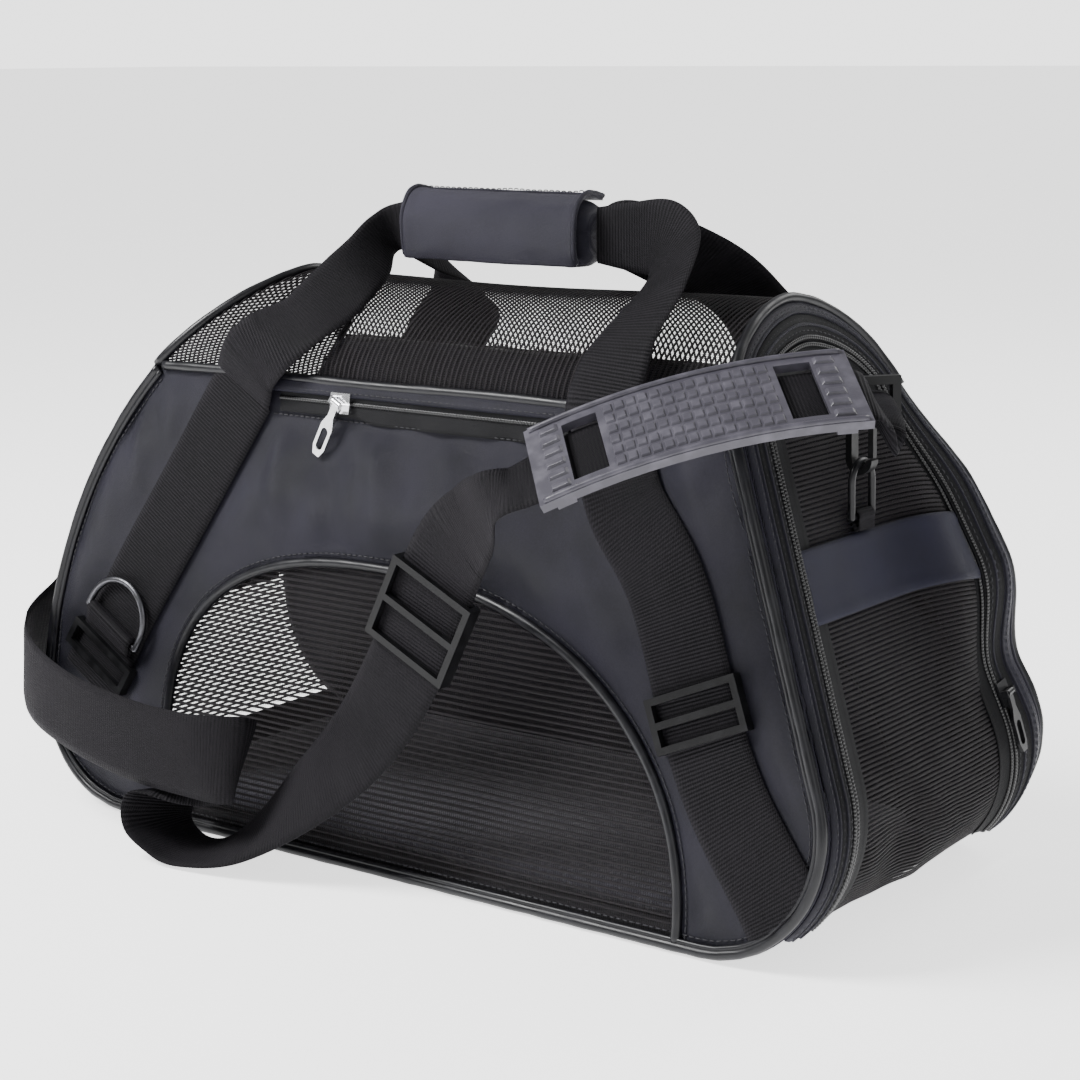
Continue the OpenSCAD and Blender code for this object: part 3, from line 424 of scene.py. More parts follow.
def grid_faces(rows, columns, start=0, wrap=False):
    """Quads of a grid of points, row by row; wrap joins the last column to the first."""
    last = columns if wrap else columns - 1
    return [(start + i * columns + j, start + i * columns + (j + 1) % columns,
             start + (i + 1) * columns + (j + 1) % columns, start + (i + 1) * columns + j)
            for i in range(rows - 1) for j in range(last)]


def tube_faces(rings, sides, start=0):
    """Faces of a closed tube: its walls and both ends."""
    last = start + (rings - 1) * sides
    return grid_faces(rings, sides, start, wrap=True) + [
        tuple(start + j for j in range(sides))[::-1],
        tuple(last + j for j in range(sides))]


def piece(name, points, faces, material, body, weave=None, smooth=True):
    """A mesh from points in millimetres, riding on a body. Without a body, it's left to the caller."""
    mesh = bpy.data.meshes.new(name)
    mesh.from_pydata((np.asarray(points, float).reshape(-1, 3) * MM).tolist(), [], faces)
    mesh.materials.append(material)
    mesh.polygons.foreach_set("use_smooth", [smooth] * len(mesh.polygons))
    if weave is not None:
        rows = np.zeros((len(mesh.vertices), 3), np.float32)
        rows[:, :2] = np.asarray(weave, float).reshape(-1, 2)
        mesh.attributes.new("weave", "FLOAT_VECTOR", "POINT").data.foreach_set("vector", rows.ravel())
    mesh.update()
    made = bpy.data.objects.new(name, mesh)
    bpy.context.scene.collection.objects.link(made)
    if body:
        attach(made, body)
    return made


def thicken(made, thickness, offset=-1.0):
    solid = made.modifiers.new("thickness", "SOLIDIFY")
    solid.thickness = thickness * MM
    solid.offset = offset
    return made


def sheet_grid(name, points, material, body, thickness=0.0, offset=-1.0):
    """A sheet from a grid of points, with the cloth's own coordinates measured along it."""
    points = np.asarray(points, float)
    rows, columns = points.shape[:2]
    down = np.concatenate([np.zeros((1, columns)),
                           np.cumsum(np.linalg.norm(np.diff(points, axis=0), axis=2), axis=0)])
    over = np.concatenate([np.zeros((rows, 1)),
                           np.cumsum(np.linalg.norm(np.diff(points, axis=1), axis=2), axis=1)], 1)
    over -= over[:, -1:] / 2
    made = piece(name, points, grid_faces(rows, columns), material, body,
                 np.stack([over, down], -1))
    return thicken(made, thickness, offset) if thickness else made


def round_profile(across, up, sides):
    a = np.arange(sides) * 2 * math.pi / sides
    return np.stack([across * np.cos(a), up * np.sin(a)], 1)


def swept(paths, hints, profile):
    """Points, faces and lengths of profiles swept along paths; hints say which way is up."""
    points, faces, weave = [], [], []
    count = 0
    for path, hint in zip(paths, hints):
        path = np.asarray(path, float)
        along = unit(np.gradient(path, axis=0))
        side = unit(np.cross(along, np.broadcast_to(hint, path.shape)))
        up = np.cross(side, along)
        rings = path[:, None] + profile[None, :, :1] * side[:, None] + profile[None, :, 1:] * up[:, None]
        n, k = rings.shape[:2]
        points.append(rings.reshape(-1, 3))
        places = np.broadcast_arrays(gone(path)[:, None], 3 * np.arange(k)[None, :])
        weave.append(np.stack(places, -1).reshape(-1, 2))
        faces += tube_faces(n, k, count)
        count += n * k
    return np.concatenate(points), faces, np.concatenate(weave)


def cable(name, path, hint, radius, material, body, sides=12, ripple=0.12):
    """A sewn-in cord under vinyl, slightly uneven along its length."""
    points, faces, weave = swept([path], [hint], round_profile(radius, radius, sides))
    rings = points.reshape(-1, sides, 3)
    centre = rings.mean(1, keepdims=True)
    swell = np.array([noise.noise(Vector(c[0]) / 9) for c in centre])
    points = (centre + (rings - centre) * (1 + ripple * swell[:, None, None])).reshape(-1, 3)
    return piece(name, points, faces, material, body, weave)


def stitched(name, seams, body, pitch=3.2, length=2.2, radius=0.26):
    """Thread stitches along seams, each given as (path, normals)."""
    paths, hints = [], []
    for path, normal in seams:
        normal = np.broadcast_to(normal, np.shape(path))
        line = resample(np.column_stack([path, normal]), 0.8)
        along = gone(line[:, :3])
        for start in np.arange(pitch / 2, along[-1] - length, pitch):
            at = start + length * np.array([0, 0.15, 0.5, 0.85, 1])
            row = np.stack([np.interp(at, along, line[:, k]) for k in range(6)], 1)
            lift = np.array([-0.3, 0.05, 0.18, 0.05, -0.3])[:, None]
            paths.append(row[:, :3] + lift * row[:, 3:])
            hints.append(row[:, 3:])
    points, faces, weave = swept(paths, hints, round_profile(radius, radius, 5))
    return piece(name, points, faces, THREAD, body, weave)


def ribbon(name, stations, body, material=WEBBING, thickness=1.7, rib=1.5, trim=None):
    """Webbing along stations of [centre, direction across, width], with raised ribs across it."""
    rows = np.array([[*c, *(unit(np.array(a, float)) * w)] for c, a, w in stations])
    line = resample(spline(rows), rib / 4)
    centre, across = line[:, :3], line[:, 3:]
    width = np.linalg.norm(across, axis=1, keepdims=True)
    along = unit(np.gradient(centre, axis=0))
    face = unit(np.cross(along, across))
    across = np.cross(face, along) * width / 2
    length = gone(centre)
    ribs = 0.16 * np.cos(2 * math.pi * length / rib)
    t = np.linspace(-1, 1, 11)
    edge = np.sqrt(np.clip(1 - np.abs(t) ** 8, 0.05, 1))
    top = (thickness / 2 + ribs[:, None]) * edge
    grid = [centre[:, None] + t[None, :, None] * across[:, None] + s * top[:, :, None] * face[:, None]
            for s in (1, -1)]
    rings = np.concatenate([grid[0], grid[1][:, ::-1]], axis=1)
    n, k = rings.shape[:2]
    if trim:
        rings = trim(rings.reshape(-1, 3)).reshape(n, k, 3)
    over = np.concatenate([t, t[::-1]]) * STRAP_W / 2
    weave = np.stack(np.broadcast_arrays(length[:, None], over[None, :]), -1)
    made = piece(name, rings, tube_faces(n, k), material, body, weave)
    made["length_mm"] = float(length[-1])
    return made


def webbing_sheet(made):
    """Takes away the length that ribbon() stored on the webbing."""
    del made["length_mm"]


# ---------------------------------------------------------------- seams and relief of the side panels


CROWN_X, CROWN_Z, WINDOW_FOOT, SPRING_Z = -20, 132, 3, 45
LEFT_REACH, RIGHT_REACH, LEFT_POWER, RIGHT_POWER = 120, 168, 2.5, 2.2


def window_row(z):
    """Ends of the arched window at a height. Left of its crown, it springs from a straight edge."""
    z = np.asarray(z, float)
    left = np.clip((z - SPRING_Z) / (CROWN_Z - SPRING_Z), 0, 1) ** LEFT_POWER
    right = np.clip((z - WINDOW_FOOT) / (CROWN_Z - WINDOW_FOOT), 0, 1) ** RIGHT_POWER
    return (CROWN_X - LEFT_REACH * (1 - left) ** (1 / LEFT_POWER),
            CROWN_X + RIGHT_REACH * (1 - right) ** (1 / RIGHT_POWER))


def window_arch(inset=0.0):
    """(x, z) of the window's edge from its left foot over the crown to its right foot."""
    halves = []
    for reach, foot, power, t in (
            (-LEFT_REACH, SPRING_Z, LEFT_POWER, np.linspace(0, math.pi / 2, 40)),
            (RIGHT_REACH, WINDOW_FOOT, RIGHT_POWER, np.linspace(math.pi / 2, 0, 40))):
        x = CROWN_X + reach * np.cos(t) ** (2 / power)
        halves.append(np.stack([x, foot + (CROWN_Z - foot) * np.sin(t) ** (2 / power)], 1))
    arch = np.concatenate([[[CROWN_X - LEFT_REACH, WINDOW_FOOT]]] + halves)
    inward = unit([CROWN_X, 40] - arch)
    return arch + inset * inward


LEFT_STRAP = [(-105, 206), (-133, 159), (-164, 108), (-192, 58)]
RIGHT_STRAP = [(97, 206), (106, 176), (131, 142), (160, 74), (192, 30), (200, 18)]


def nearest(points, others):
    """Distance from each point to the nearest of the others."""
    best = np.full(len(points), 1e9)
    for block in np.array_split(np.asarray(others, float), 12):
        gap = np.linalg.norm(points[:, None] - block[None], axis=2).min(1)
        best = np.minimum(best, gap)
    return best


OUTLINE = resample(np.concatenate([side_path(), side_path()[:1]]), 4)
ARCH = resample(np.concatenate([window_arch(), window_arch()[:1]]), 4)
STRAPS = np.concatenate([resample(spline([(u, v * math.cos(SIDE_LEAN)) for u, v in line]), 3)
                         for line in (LEFT_STRAP, RIGHT_STRAP)])


def relief(x, z, seed=0.0, folded=1.0):
    """How far the stuffed side panel stands out: pillows between seams, folds below the zip."""
    shape = np.shape(x)
    p = np.stack([np.ravel(x), np.ravel(z)], 1).astype(float)
    seam = np.minimum(nearest(p, OUTLINE), nearest(p, ARCH))
    strap = np.maximum(nearest(p, STRAPS) - 18, 0)
    zip_line = np.where((p[:, 0] > -90) & (p[:, 0] < 83), np.abs(p[:, 1] - 199), 60)
    seam = np.minimum(seam, np.maximum(zip_line - 5, 0))
    free = (1 - np.exp(-(strap / 13) ** 2)) * (1 - np.exp(-(seam / 10) ** 2))
    pillow = 6.0 * (1 - np.exp(-seam / 17))
    free *= 1 - 0.85 * bump_of(p[:, 0], -54, 17) * bump_of(p[:, 1], 184, 22)
    folds = [folded * 4.2 * noise.noise(Vector((x / 14, z / 80, seed))) * math.exp(-(((z - 178) / 34) ** 2))
             + 3.4 * noise.noise(Vector(((x + z * 0.6) / 36, (z - x * 0.6) / 26, seed + 5)))
             + 0.5 * noise.noise(Vector((x / 7, z / 11, seed + 9))) for x, z in p]
    return (free * (pillow + np.array(folds))).reshape(shape)


def inside(points, loop):
    """Whether points lie inside a closed loop."""
    x, y = points[:, :1], points[:, 1:]
    a, b = loop, np.roll(loop, -1, axis=0)
    crosses = (a[None, :, 1] > y) != (b[None, :, 1] > y)
    slope = (b[:, 0] - a[:, 0]) / np.where(b[:, 1] == a[:, 1], 1e-9, b[:, 1] - a[:, 1])
    return ((crosses & (x < a[None, :, 0] + slope[None] * (y - a[None, :, 1]))).sum(1) % 2) == 1


def patch(outline, hole, step):
    """Triangles of a flat cut with a hole."""
    outline, hole = outline[:-1], hole[:-1]
    xs = np.arange(outline[:, 0].min(), outline[:, 0].max(), step)
    zs = np.arange(outline[:, 1].min(), outline[:, 1].max(), step * 0.87)
    grid = np.stack(np.meshgrid(xs, zs), -1)
    grid[1::2, :, 0] += step / 2
    grid = grid.reshape(-1, 2)
    seams = np.concatenate([outline, hole])
    grid = grid[inside(grid, outline) & ~inside(grid, hole) & (nearest(grid, seams) > step * 0.6)]
    points = np.concatenate([seams, grid])
    n, m = len(outline), len(hole)
    edges = [(i, (i + 1) % n) for i in range(n)] + [(n + i, n + (i + 1) % m) for i in range(m)]
    found = delaunay_2d_cdt([Vector(p) for p in points], edges, [], 0, 1e-4)
    points = np.array([tuple(v) for v in found[0]])
    middles = np.array([points[list(f)].mean(0) for f in found[2]])
    keep = inside(middles, outline) & ~inside(middles, hole)
    return points, [tuple(f) for f, k in zip(found[2], keep) if k]


def flat_area(points, faces):
    """Area of triangles in square metres."""
    a, b, c = (points[[f[k] for f in faces]] for k in range(3))
    u, v = b - a, c - a
    return float(np.abs(u[:, 0] * v[:, 1] - u[:, 1] * v[:, 0]).sum() / 2 * MM * MM)


def slice_rows(rows, at):
    return np.stack([np.interp(at, np.arange(len(rows)), rows[:, k]) for k in range(rows.shape[1])], 1)


# ---------------------------------------------------------------- fabric shell


def side_cloth(name, side, seed, node):
    points, faces = patch(OUTLINE, ARCH, 3.6)
    out = relief(points[:, 0], points[:, 1], seed, 1.0 if side < 0 else 0.3)
    cloth = soften(panel_at(points[:, 0], points[:, 1], out - 0.3, side))
    faces = faces if side < 0 else [f[::-1] for f in faces]
    made = piece(name, cloth, faces, POLYESTER, "bag", points)
    normals_out(made, side)
    thicken(made, 1.3)
    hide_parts(node)
    flat_area(points, faces)
    return made


def normals_out(made, side):
    """Turns the faces over if most of them look into the bag."""
    facing = sum(p.normal.y * p.area for p in made.data.polygons) * side
    if facing < 0:
        made.data.flip_normals()


def strip_sheet(name, points, material, body, node=None, thickness=1.2):
    """A woven piece from a grid, softened like the filled bag."""
    made = sheet_grid(name, soften(points), material, body, thickness, 0.0)
    if node:
        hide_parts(node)
    return made


def end_rows(at, low, high, inset, out, step, columns):
    """Rows of points across an end of the bag, even along its slope."""
    z = np.linspace(low, high, 500)
    slope = at(0 * z, z)
    rows = resample(np.column_stack([slope[:, [0, 2]], z]), step)[:, 2]
    t = np.linspace(-1, 1, columns)
    half = half_width(np.minimum(rows, RIDGE_Z - inset - 0.05), inset)
    return rows, at(t[None] * half[:, None], rows[:, None], out(t[None] * half[:, None], rows[:, None]))


def net_ribs(name, paths, hints, body):
    points, faces, weave = swept([soften(p) for p in paths], hints, round_profile(0.62, 0.36, 6))
    return piece(name, points, faces, RIB, body, weave)


def net(name, grid, paths, hints, body, node):
    """A mesh panel: open ground with raised ribs."""
    ribs = net_ribs(name + "_ribs", paths, hints, body)
    ground = sheet_grid(name, soften(grid), NET, body)
    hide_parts(node)


def window_net(name, side, seed, node):
    def out(x, z):
        low, high = window_row(z)
        edge = np.minimum(np.minimum(x - low, high - x), np.minimum(z - WINDOW_FOOT, CROWN_Z - z))
        return -1 + (1 - np.exp(-np.maximum(edge, 0) / 18)) * (1.2 + 2.2 * rippled(x, z, 40, 30, seed))

    z = np.linspace(3.2, 131.6, 44)
    low, high = window_row(z)
    t = np.linspace(0, 1, 90)
    x = low[:, None] + t[None] * (high - low)[:, None]
    zz = np.broadcast_to(z[:, None], x.shape)
    grid = panel_at(x, zz, out(x, zz), side)
    paths = []
    for height in np.arange(5, 131.5, NET_PITCH):
        a, b = window_row(height)
        row = np.linspace(a + 0.5, b - 0.5, max(6, int((b - a) / 4)))
        paths.append(panel_at(row, height, out(row, np.full(len(row), height)) + 0.2, side))
    net(name, grid, paths, [side_normal(side)] * len(paths), "bag", node)


def door_out(y, z):
    """The door's mesh is slack: it swells low down and pulls in around the band."""
    wave = rippled(y, z, 45, 38, 3.3)
    fold = rippled(y + z, y - z, 22, 70, 8)
    edge = 1 - np.exp(-np.maximum(half_width(np.minimum(z, 230), 18) - np.abs(y), 0) / 14)
    quiet = 1 - 0.9 * bump_of(z, 144, 17) - 0.9 * bump_of(y, 0, 22) * step_of(z, 150, 165)
    swell = 13 * bump_of(y, 44, 22) * bump_of(z, 150, 55)
    return -1 + edge * ((2.0 + 3.0 * wave + 2.5 * fold * bump_of(z, 60, 50)) * np.clip(quiet, 0, 1) + swell)


def closed_out(y, z):
    """The closed end's mesh is tight, and flat behind its band."""
    edge = 1 - np.exp(-np.maximum(80 - np.abs(y), 0) / 14)
    return -1 + edge * (0.5 + 2.5 * rippled(y, z, 50, 40, 7.7)) * (1 - bump_of(z, 150, 22))


def end_net(name, at, low, high, inset, out, body, node, side):
    """The mesh of an end; side is 1 where the end looks along +X."""
    _, grid = end_rows(at, low, high, inset, out, 4, 60)
    heights, rib_rows = end_rows(at, low + 1.2, high - 1.2, inset + 0.5, out, NET_PITCH, 56)
    hints = [np.cross([0, side, 0], unit(at(0, z + 0.5) - at(0, z - 0.5))) for z in heights]
    net(name, grid, list(rib_rows), hints, body, node)


def roof_net():
    """Mesh over the roof, with ribs from seam to seam, cut off where the ends curve in."""
    arch = roof_arch(1.0, 60)
    low = closed_at(0, arch[:, 1], -1)[:, 0]
    high = door_at(0, arch[:, 1], -1)[:, 0]
    t = np.linspace(0, 1, 90)
    x = low[:, None] + t[None] * (high - low)[:, None]
    grid = np.stack(np.broadcast_arrays(x, arch[:, :1], arch[:, 1:]), -1).transpose(1, 0, 2)
    paths = []
    for x in np.arange(low.min() + 2, high.max() - 2, NET_PITCH):
        runs = np.flatnonzero((low <= x) & (x <= high))
        for run in np.split(runs, np.flatnonzero(np.diff(runs) > 1) + 1):
            if len(run) > 3:
                paths.append(np.column_stack([np.full(len(run), x), arch[run] + [0, 0.3]]))
    hints = [np.column_stack([0 * p[:, 0], p[:, 1] / 64, (p[:, 2] - 190) / 60]) for p in paths]
    net("roof_net", grid, paths, hints, "bag", "roof_mesh")


def hoop_strip(outer, inner, out, body, name, material, node, low=HINGE_Z, thickness=1.0):
    """A strip of cloth round the door end between two insets; out is a height for each column."""
    a, b = (resample(hoop(inset, low), 4) for inset in (outer, inner))
    b = slice_rows(b, np.linspace(0, len(b) - 1, len(a)))
    t = np.linspace(0, 1, len(out))[None, :, None]
    rows = a[:, None] * (1 - t) + b[:, None] * t
    grid = door_at(rows[..., 0], rows[..., 1], np.array(out)[None])
    return strip_sheet(name, grid, material, body, node, thickness)


def hoop_line(inset, out, low=HINGE_Z, step=3.0):
    rows = resample(hoop(inset, low), step)
    return soften(door_at(rows[:, 0], rows[:, 1], out))


def door_normals(path):
    """Outward directions of the door end along a path."""
    angle = np.clip(np.arcsin(np.clip((path[:, 2] - DOOR_R) / DOOR_R, -1, 1)), -1.5, DOOR_LEAN)
    return np.stack([np.cos(angle), 0 * angle, np.sin(angle)], 1)


def window_lining():
    """Opaque cloth behind the rear window's net."""
    z = np.linspace(3.5, 131, 34)
    low, high = window_row(z)
    x = low[:, None] + np.linspace(0, 1, 60)[None] * (high - low)[:, None]
    strip_sheet("rear_window_lining", panel_at(x, z[:, None], -3.2, 1), POLYESTER, "bag",
                None, 0.6)


def floor_cloth():
    """Cloth under the floor and up both curves to the ends' mesh."""
    under = side_path(1.0)
    under = under[under[:, 1] < HINGE_Z]
    rows = [np.column_stack([under[:, 0], t * half_width(under[:, 1], 2), under[:, 1]])
            for t in np.linspace(-1, 1, 30)]
    strip_sheet("base_cloth", np.stack(rows, 1), POLYESTER, "bag", "base_panel", 1.4)


side_cloth("front_cloth", -1, 1.5, "front_panel")
side_cloth("rear_cloth", 1, 6.5, "rear_panel")
window_net("front_window_net", -1, 2.2, "front_window")
window_net("rear_window_net", 1, 4.4, "rear_window")
window_lining()
roof_net()
end_net("door_net", door_at, HINGE_Z + 0.5, RIDGE_Z - 19, 18.3, door_out, "door", "door_mesh", 1)
end_net("closed_net", closed_at, HINGE_Z, RIDGE_Z - 1.4, 1.1, closed_out, "bag", "closed_mesh", -1)
floor_cloth()
hoop_strip(2, 18, [0.2, 1.3, 1.5, 0.6, 1.7, 1.9, 0.8, 1.6, 0.5], "bag", "door_frame_cloth", POLYESTER,
           "door_frame")
hoop_strip(7.4, 17.9, [1.7, 1.9, 2.2, 1.9, 1.8], "bag", "frame_zip_tape", TAPE, "frame_zip",
           ZIP_FOOT, 0.6)
hoop_strip(18.3, 29, [1.2, 1.3, 1.0, 0.6, 0.9], "door", "door_zip_tape", TAPE, "door_zip",
           ZIP_FOOT, 0.6)


def end_band(name, at, low, high, inset, body, node, lift):
    """Reinforcing panel across an end, with turned-in edges."""
    z = np.linspace(low, high, 22)
    y = np.linspace(-1, 1, 60)[None] * half_width(z, inset)[:, None]
    rows = z[:, None] + 0 * y
    hem = 0.5 * (bump_of(rows, low + 2.4, 2.2) + bump_of(rows, high - 2.4, 2.2))
    out = 1.9 + 0.5 * rippled(y, rows, 17, 40, 1.1) + hem + lift(y, rows)
    strip_sheet(name, at(y, rows, out), BAND, body, node, 0.9)


end_band("door_band_cloth", door_at, BAND_Z, BAND_Z + BAND_H, 18.5, "door", "door_band", door_out)
end_band("closed_band_cloth", closed_at, CLOSED_BAND_Z, BAND_Z + BAND_H, 4, "bag", "closed_band",
         closed_out)

# ---------------------------------------------------------------- piping and thread


def piping(name, path, hint, node, radius=BEAD_R, body="bag"):
    made = cable(name, soften(path), hint, radius, PIPING, body)
    if node:
        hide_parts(node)


def side_seams(side, word):
    """Piping and stitches round the window and round the whole side panel."""
    normal = side_normal(side)
    for name, path, out, node, radius in (
            ("_window_bead", window_arch(), 0.5, word + "_window_piping", BEAD_R),
            ("_edge_bead", side_path(BEAD_R), 1.0, word + "_edge_piping", BEAD_R),
            ("_edge_fold", side_path(4.6), 1.0, None, 1.3)):
        piping(word + name, panel_at(*resample(path, 3).T, out, side), normal, node, radius)
    rows = [resample(path, 2) for path in (window_arch(-4.2), side_path(7.5))]
    seams = [soften(panel_at(*row.T, relief(*row.T) + 0.3, side)) for row in rows]
    stitched(word + "_panel_stitches", [(seam, normal) for seam in seams], "bag")


def roof_seam(side, word):
    x = np.linspace(closed_at(0, SHOULDER_Z)[0] + 5, door_at(0, SHOULDER_Z)[0] - 5, 120)
    y = side * (SHOULDER_DEPTH / 2 + 0.5)
    line = np.column_stack([x, y + 0 * x, SHOULDER_Z + 0.4 * np.sin(x / 23)])
    made = cable(word + "_seam_bead", line, np.array([0, 0, 1]), BEAD_R, PIPING, "bag")
    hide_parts("seam_piping")


def roof_ends():
    over = resample(roof_arch(0, 60), 2.5)
    piping("door_arch_bead", door_at(over[:, 0], over[:, 1]),
           np.array([math.cos(DOOR_LEAN), 0, math.sin(DOOR_LEAN)]), "door_arch_piping")
    piping("closed_arch_bead", closed_at(over[:, 0], over[:, 1]),
           np.array([-math.cos(CLOSED_TOP), 0, math.sin(CLOSED_TOP)]), "closed_arch_piping")


def frame_seams():
    """Folds and rows of stitches round the door's frame."""
    for inset, out, radius, name in ((6.2, 1.7, 0.9, "outer"), (11.5, 2.2, 0.8, "inner")):
        line = hoop_line(inset, out)
        cable("frame_fold_" + name, line, door_normals(line), radius, POLYESTER, "bag", 8)
    lines = [hoop_line(inset, out, step=2) for inset, out in ((4.3, 1.7), (9.2, 1.8), (14.0, 2.3))]
    stitched("frame_stitches", [(line, door_normals(line)) for line in lines], "bag")


SIDES = ((-1, "front"), (1, "rear"))
for side, word in SIDES:
    side_seams(side, word)
for side, word in SIDES:
    roof_seam(side, word)
roof_ends()
frame_seams()


def coil(name, path, body, hint=None, radius=0.95, pitch=1.5):
    """Two interlocked rows of a zip's coil. Without a hint, it lies on the door end."""
    path = resample(path, pitch / 4)
    hint = door_normals(path) if hint is None else np.broadcast_to(hint, path.shape)
    points, faces, weave = swept([path], [hint], round_profile(radius, radius * 0.75, 8))
    rings = points.reshape(len(path), 8, 3)
    swell = 1 + 0.22 * np.cos(np.arange(len(path)) * math.pi / 2)
    rings = path[:, None] + (rings - path[:, None]) * swell[:, None, None]
    return piece(name, rings, faces, COIL, body, weave)


coil("frame_coil", hoop_line(16.6, 2.3, ZIP_FOOT), "bag")
coil("door_coil", hoop_line(19.4, 1.9, ZIP_FOOT), "door")

# ---------------------------------------------------------------- pocket zip under its folded lip



def pocket_lining():
    x = np.linspace(-90, 83, 50)[None]
    z = np.linspace(134, 206, 20)[:, None]
    bag = panel_at(x, z, -3.4 - 0.6 * np.sin(x / 19) + 0 * z)
    strip_sheet("pocket_lining_cloth", bag, POLYESTER, "bag", "pocket_lining", 0.6)


def pocket_zip(x, zip_z):
    """Tape and coil of the zip; right of the slider it is open, and its lower half hangs in waves."""
    opened = step_of(x, -40, -25)[None]
    z = zip_z + np.linspace(-6, 6, 9)[:, None]
    low_half = step_of(zip_z - z, 0, 5)
    wave = opened * (0.9 * np.sin(x / 9.0) + 0.5 * np.sin(x / 4.1))[None] * low_half
    tape = panel_at(x[None], z - 2.2 * opened * low_half, 0.7 + wave * 0.9)
    strip_sheet("pocket_zip_tape", tape, TAPE, "bag", "pocket_zip", 0.6)
    coil("pocket_coil", panel_at(x, zip_z + 0 * x, 1.2), "bag", side_normal(-1))


def pocket_lip(x):
    """The lip runs down from the seam and folds back under itself."""
    z = np.array([209.8, 208, 206, 204.4, 203.8, 204.3, 206, 208])[:, None]
    out = np.array([1.3, 2.0, 2.3, 2.3, 1.9, 1.5, 1.4, 1.4])[:, None] + 0.25 * np.sin(x / 15)[None]
    lip = panel_at(x[None] * 1.08, z, out)
    strip_sheet("pocket_lip", lip, POLYESTER, "bag", None, 0.6)


def pocket_stitches(x, zip_z):
    above = panel_at(x, zip_z + 4.6 + 0 * x, 2.5)
    low = zip_z - 7.5 + 0 * x
    below = panel_at(x, low, relief(x, low) + 0.2)
    stitched("pocket_stitches", [(line, side_normal(-1)) for line in (above, below)], "bag")


zip_x = np.linspace(-83, 76, 110)
zip_z = 203 * math.cos(SIDE_LEAN)
pocket_lining()
pocket_zip(zip_x, zip_z)
pocket_lip(zip_x)
pocket_stitches(zip_x * 1.07, zip_z)

# ---------------------------------------------------------------- webbing


def mirrored(stations):
    return [[(c[0], -c[1], c[2]), (a[0], -a[1], a[2]), w] for c, a, w in stations]


def sewn_in(points):
    """Ends of the webbing are caught in the seam round the door's corner."""
    p = np.array(points, float)
    arm = p[:, [0, 2]] - [DOOR_X, DOOR_R]
    length = np.linalg.norm(arm, axis=1)
    low = (arm[:, 0] > 0) & (arm[:, 1] < 0) & (length > DOOR_R - 4)
    p[low, 0] = DOOR_X + arm[low, 0] / length[low] * (DOOR_R - 4)
    p[low, 2] = DOOR_R + arm[low, 1] / length[low] * (DOOR_R - 4)
    return p


def sewn(line, side):
    """Stations of webbing sewn flat on a side panel."""
    rows = resample(spline([(u, v * math.cos(SIDE_LEAN)) for u, v in line], 6), 8)
    out = relief(rows[:, 0], rows[:, 1]) + 1.25
    centre = panel_at(rows[:, 0], rows[:, 1], out, side)
    along = unit(np.gradient(centre, axis=0))
    normal = np.array([0, side * math.cos(SIDE_LEAN), math.sin(SIDE_LEAN)])
    across = np.cross(normal, along)
    return [[tuple(c), tuple(a), STRAP_W] for c, a in zip(centre, across)]


LEFT_HANDLE = [
    [(-105, -67.4, 204), (0.86, -0.08, -0.5), 38], [(-99, -69, 215), (0.86, -0.1, -0.5), 38],
    [(-87, -68, 225.5), (0.8, -0.25, -0.55), 38], [(-76, -59, 235), (0.85, -0.35, -0.45), 37],
    [(-69.5, -47, 244.5), (0.85, -0.15, -0.5), 34], [(-67, -35, 253.5), (0.8, 0.05, -0.55), 29],
    [(-68, -23, 260), (0.62, 0.35, -0.65), 25], [(-70, -13, 267), (0.35, 0.5, -0.78), 22],
    [(-70, -7.5, 270.5), (0.18, 0.4, -0.9), 21], [(-67, -4.5, 272.8), (0.08, 0.1, -1), 21],
    [(-62, -3.5, 273.8), (0, 0, -1), 22], [(-56.5, -3.5, 274), (0, 0, -1), 24]]
RIGHT_HANDLE = [
    [(97, -67.4, 204), (0.96, 0.04, 0.28), 38], [(95, -69, 213), (0.96, 0, 0.26), 38],
    [(97, -60, 234), (0.93, 0, 0.36), 38], [(100, -42, 252), (0.85, 0.1, 0.5), 38],
    [(96, -22, 266), (0.7, 0.1, 0.7), 38], [(84, -10, 274), (0.35, 0.1, 0.93), 34],
    [(66, -4, 274), (0, 0, 1), 30], [(46, -3.5, 274), (0, 0, 1), 24]]
REAR_RIGHT_HANDLE = [
    [(97, -67.4, 204), (0.96, 0.04, 0.28), 38], [(95, -69, 213), (0.96, 0, 0.26), 38],
    [(90, -64, 232), (0.93, 0, 0.36), 38], [(87, -52, 245), (0.9, 0.1, 0.4), 38],
    [(81, -34, 257), (0.8, 0.1, 0.6), 38], [(71, -17, 266), (0.5, 0.1, 0.85), 34],
    [(58, -4.5, 274), (0, 0, 1), 30], [(46, -3.5, 274), (0, 0, 1), 24]]

for side, word in ((-1, "front"), (1, "rear")):
    for line, hand in ((LEFT_STRAP, "left"), (RIGHT_STRAP, "right")):
        made = ribbon(word + "_" + hand + "_webbing", sewn(line, side), "bag", trim=sewn_in)
        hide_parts(word + "_sewn_straps")
        webbing_sheet(made)
    right_handle = RIGHT_HANDLE if side < 0 else REAR_RIGHT_HANDLE
    for handle, hand in ((LEFT_HANDLE, "left"), (right_handle, "right")):
        stations = handle if side < 0 else mirrored(handle)
        made = ribbon(word + "_" + hand + "_handle", stations, None)
        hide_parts(word + "_handle_straps")
        webbing_sheet(made)
        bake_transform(made)

ADJUSTER_TURN = math.radians(26)
PAD_AT = np.array([158, -100, 216])
PAD_TURN = np.array(Matrix.Rotation(math.radians(38), 3, "Z") @ Matrix.Rotation(math.radians(-14), 3, "Y")
                    @ Matrix.Rotation(math.radians(24), 3, "X"))
PAD_R, PAD_T, PAD_W = 280.0, 3.5, 52.0
UNDER_PAD = 1.4


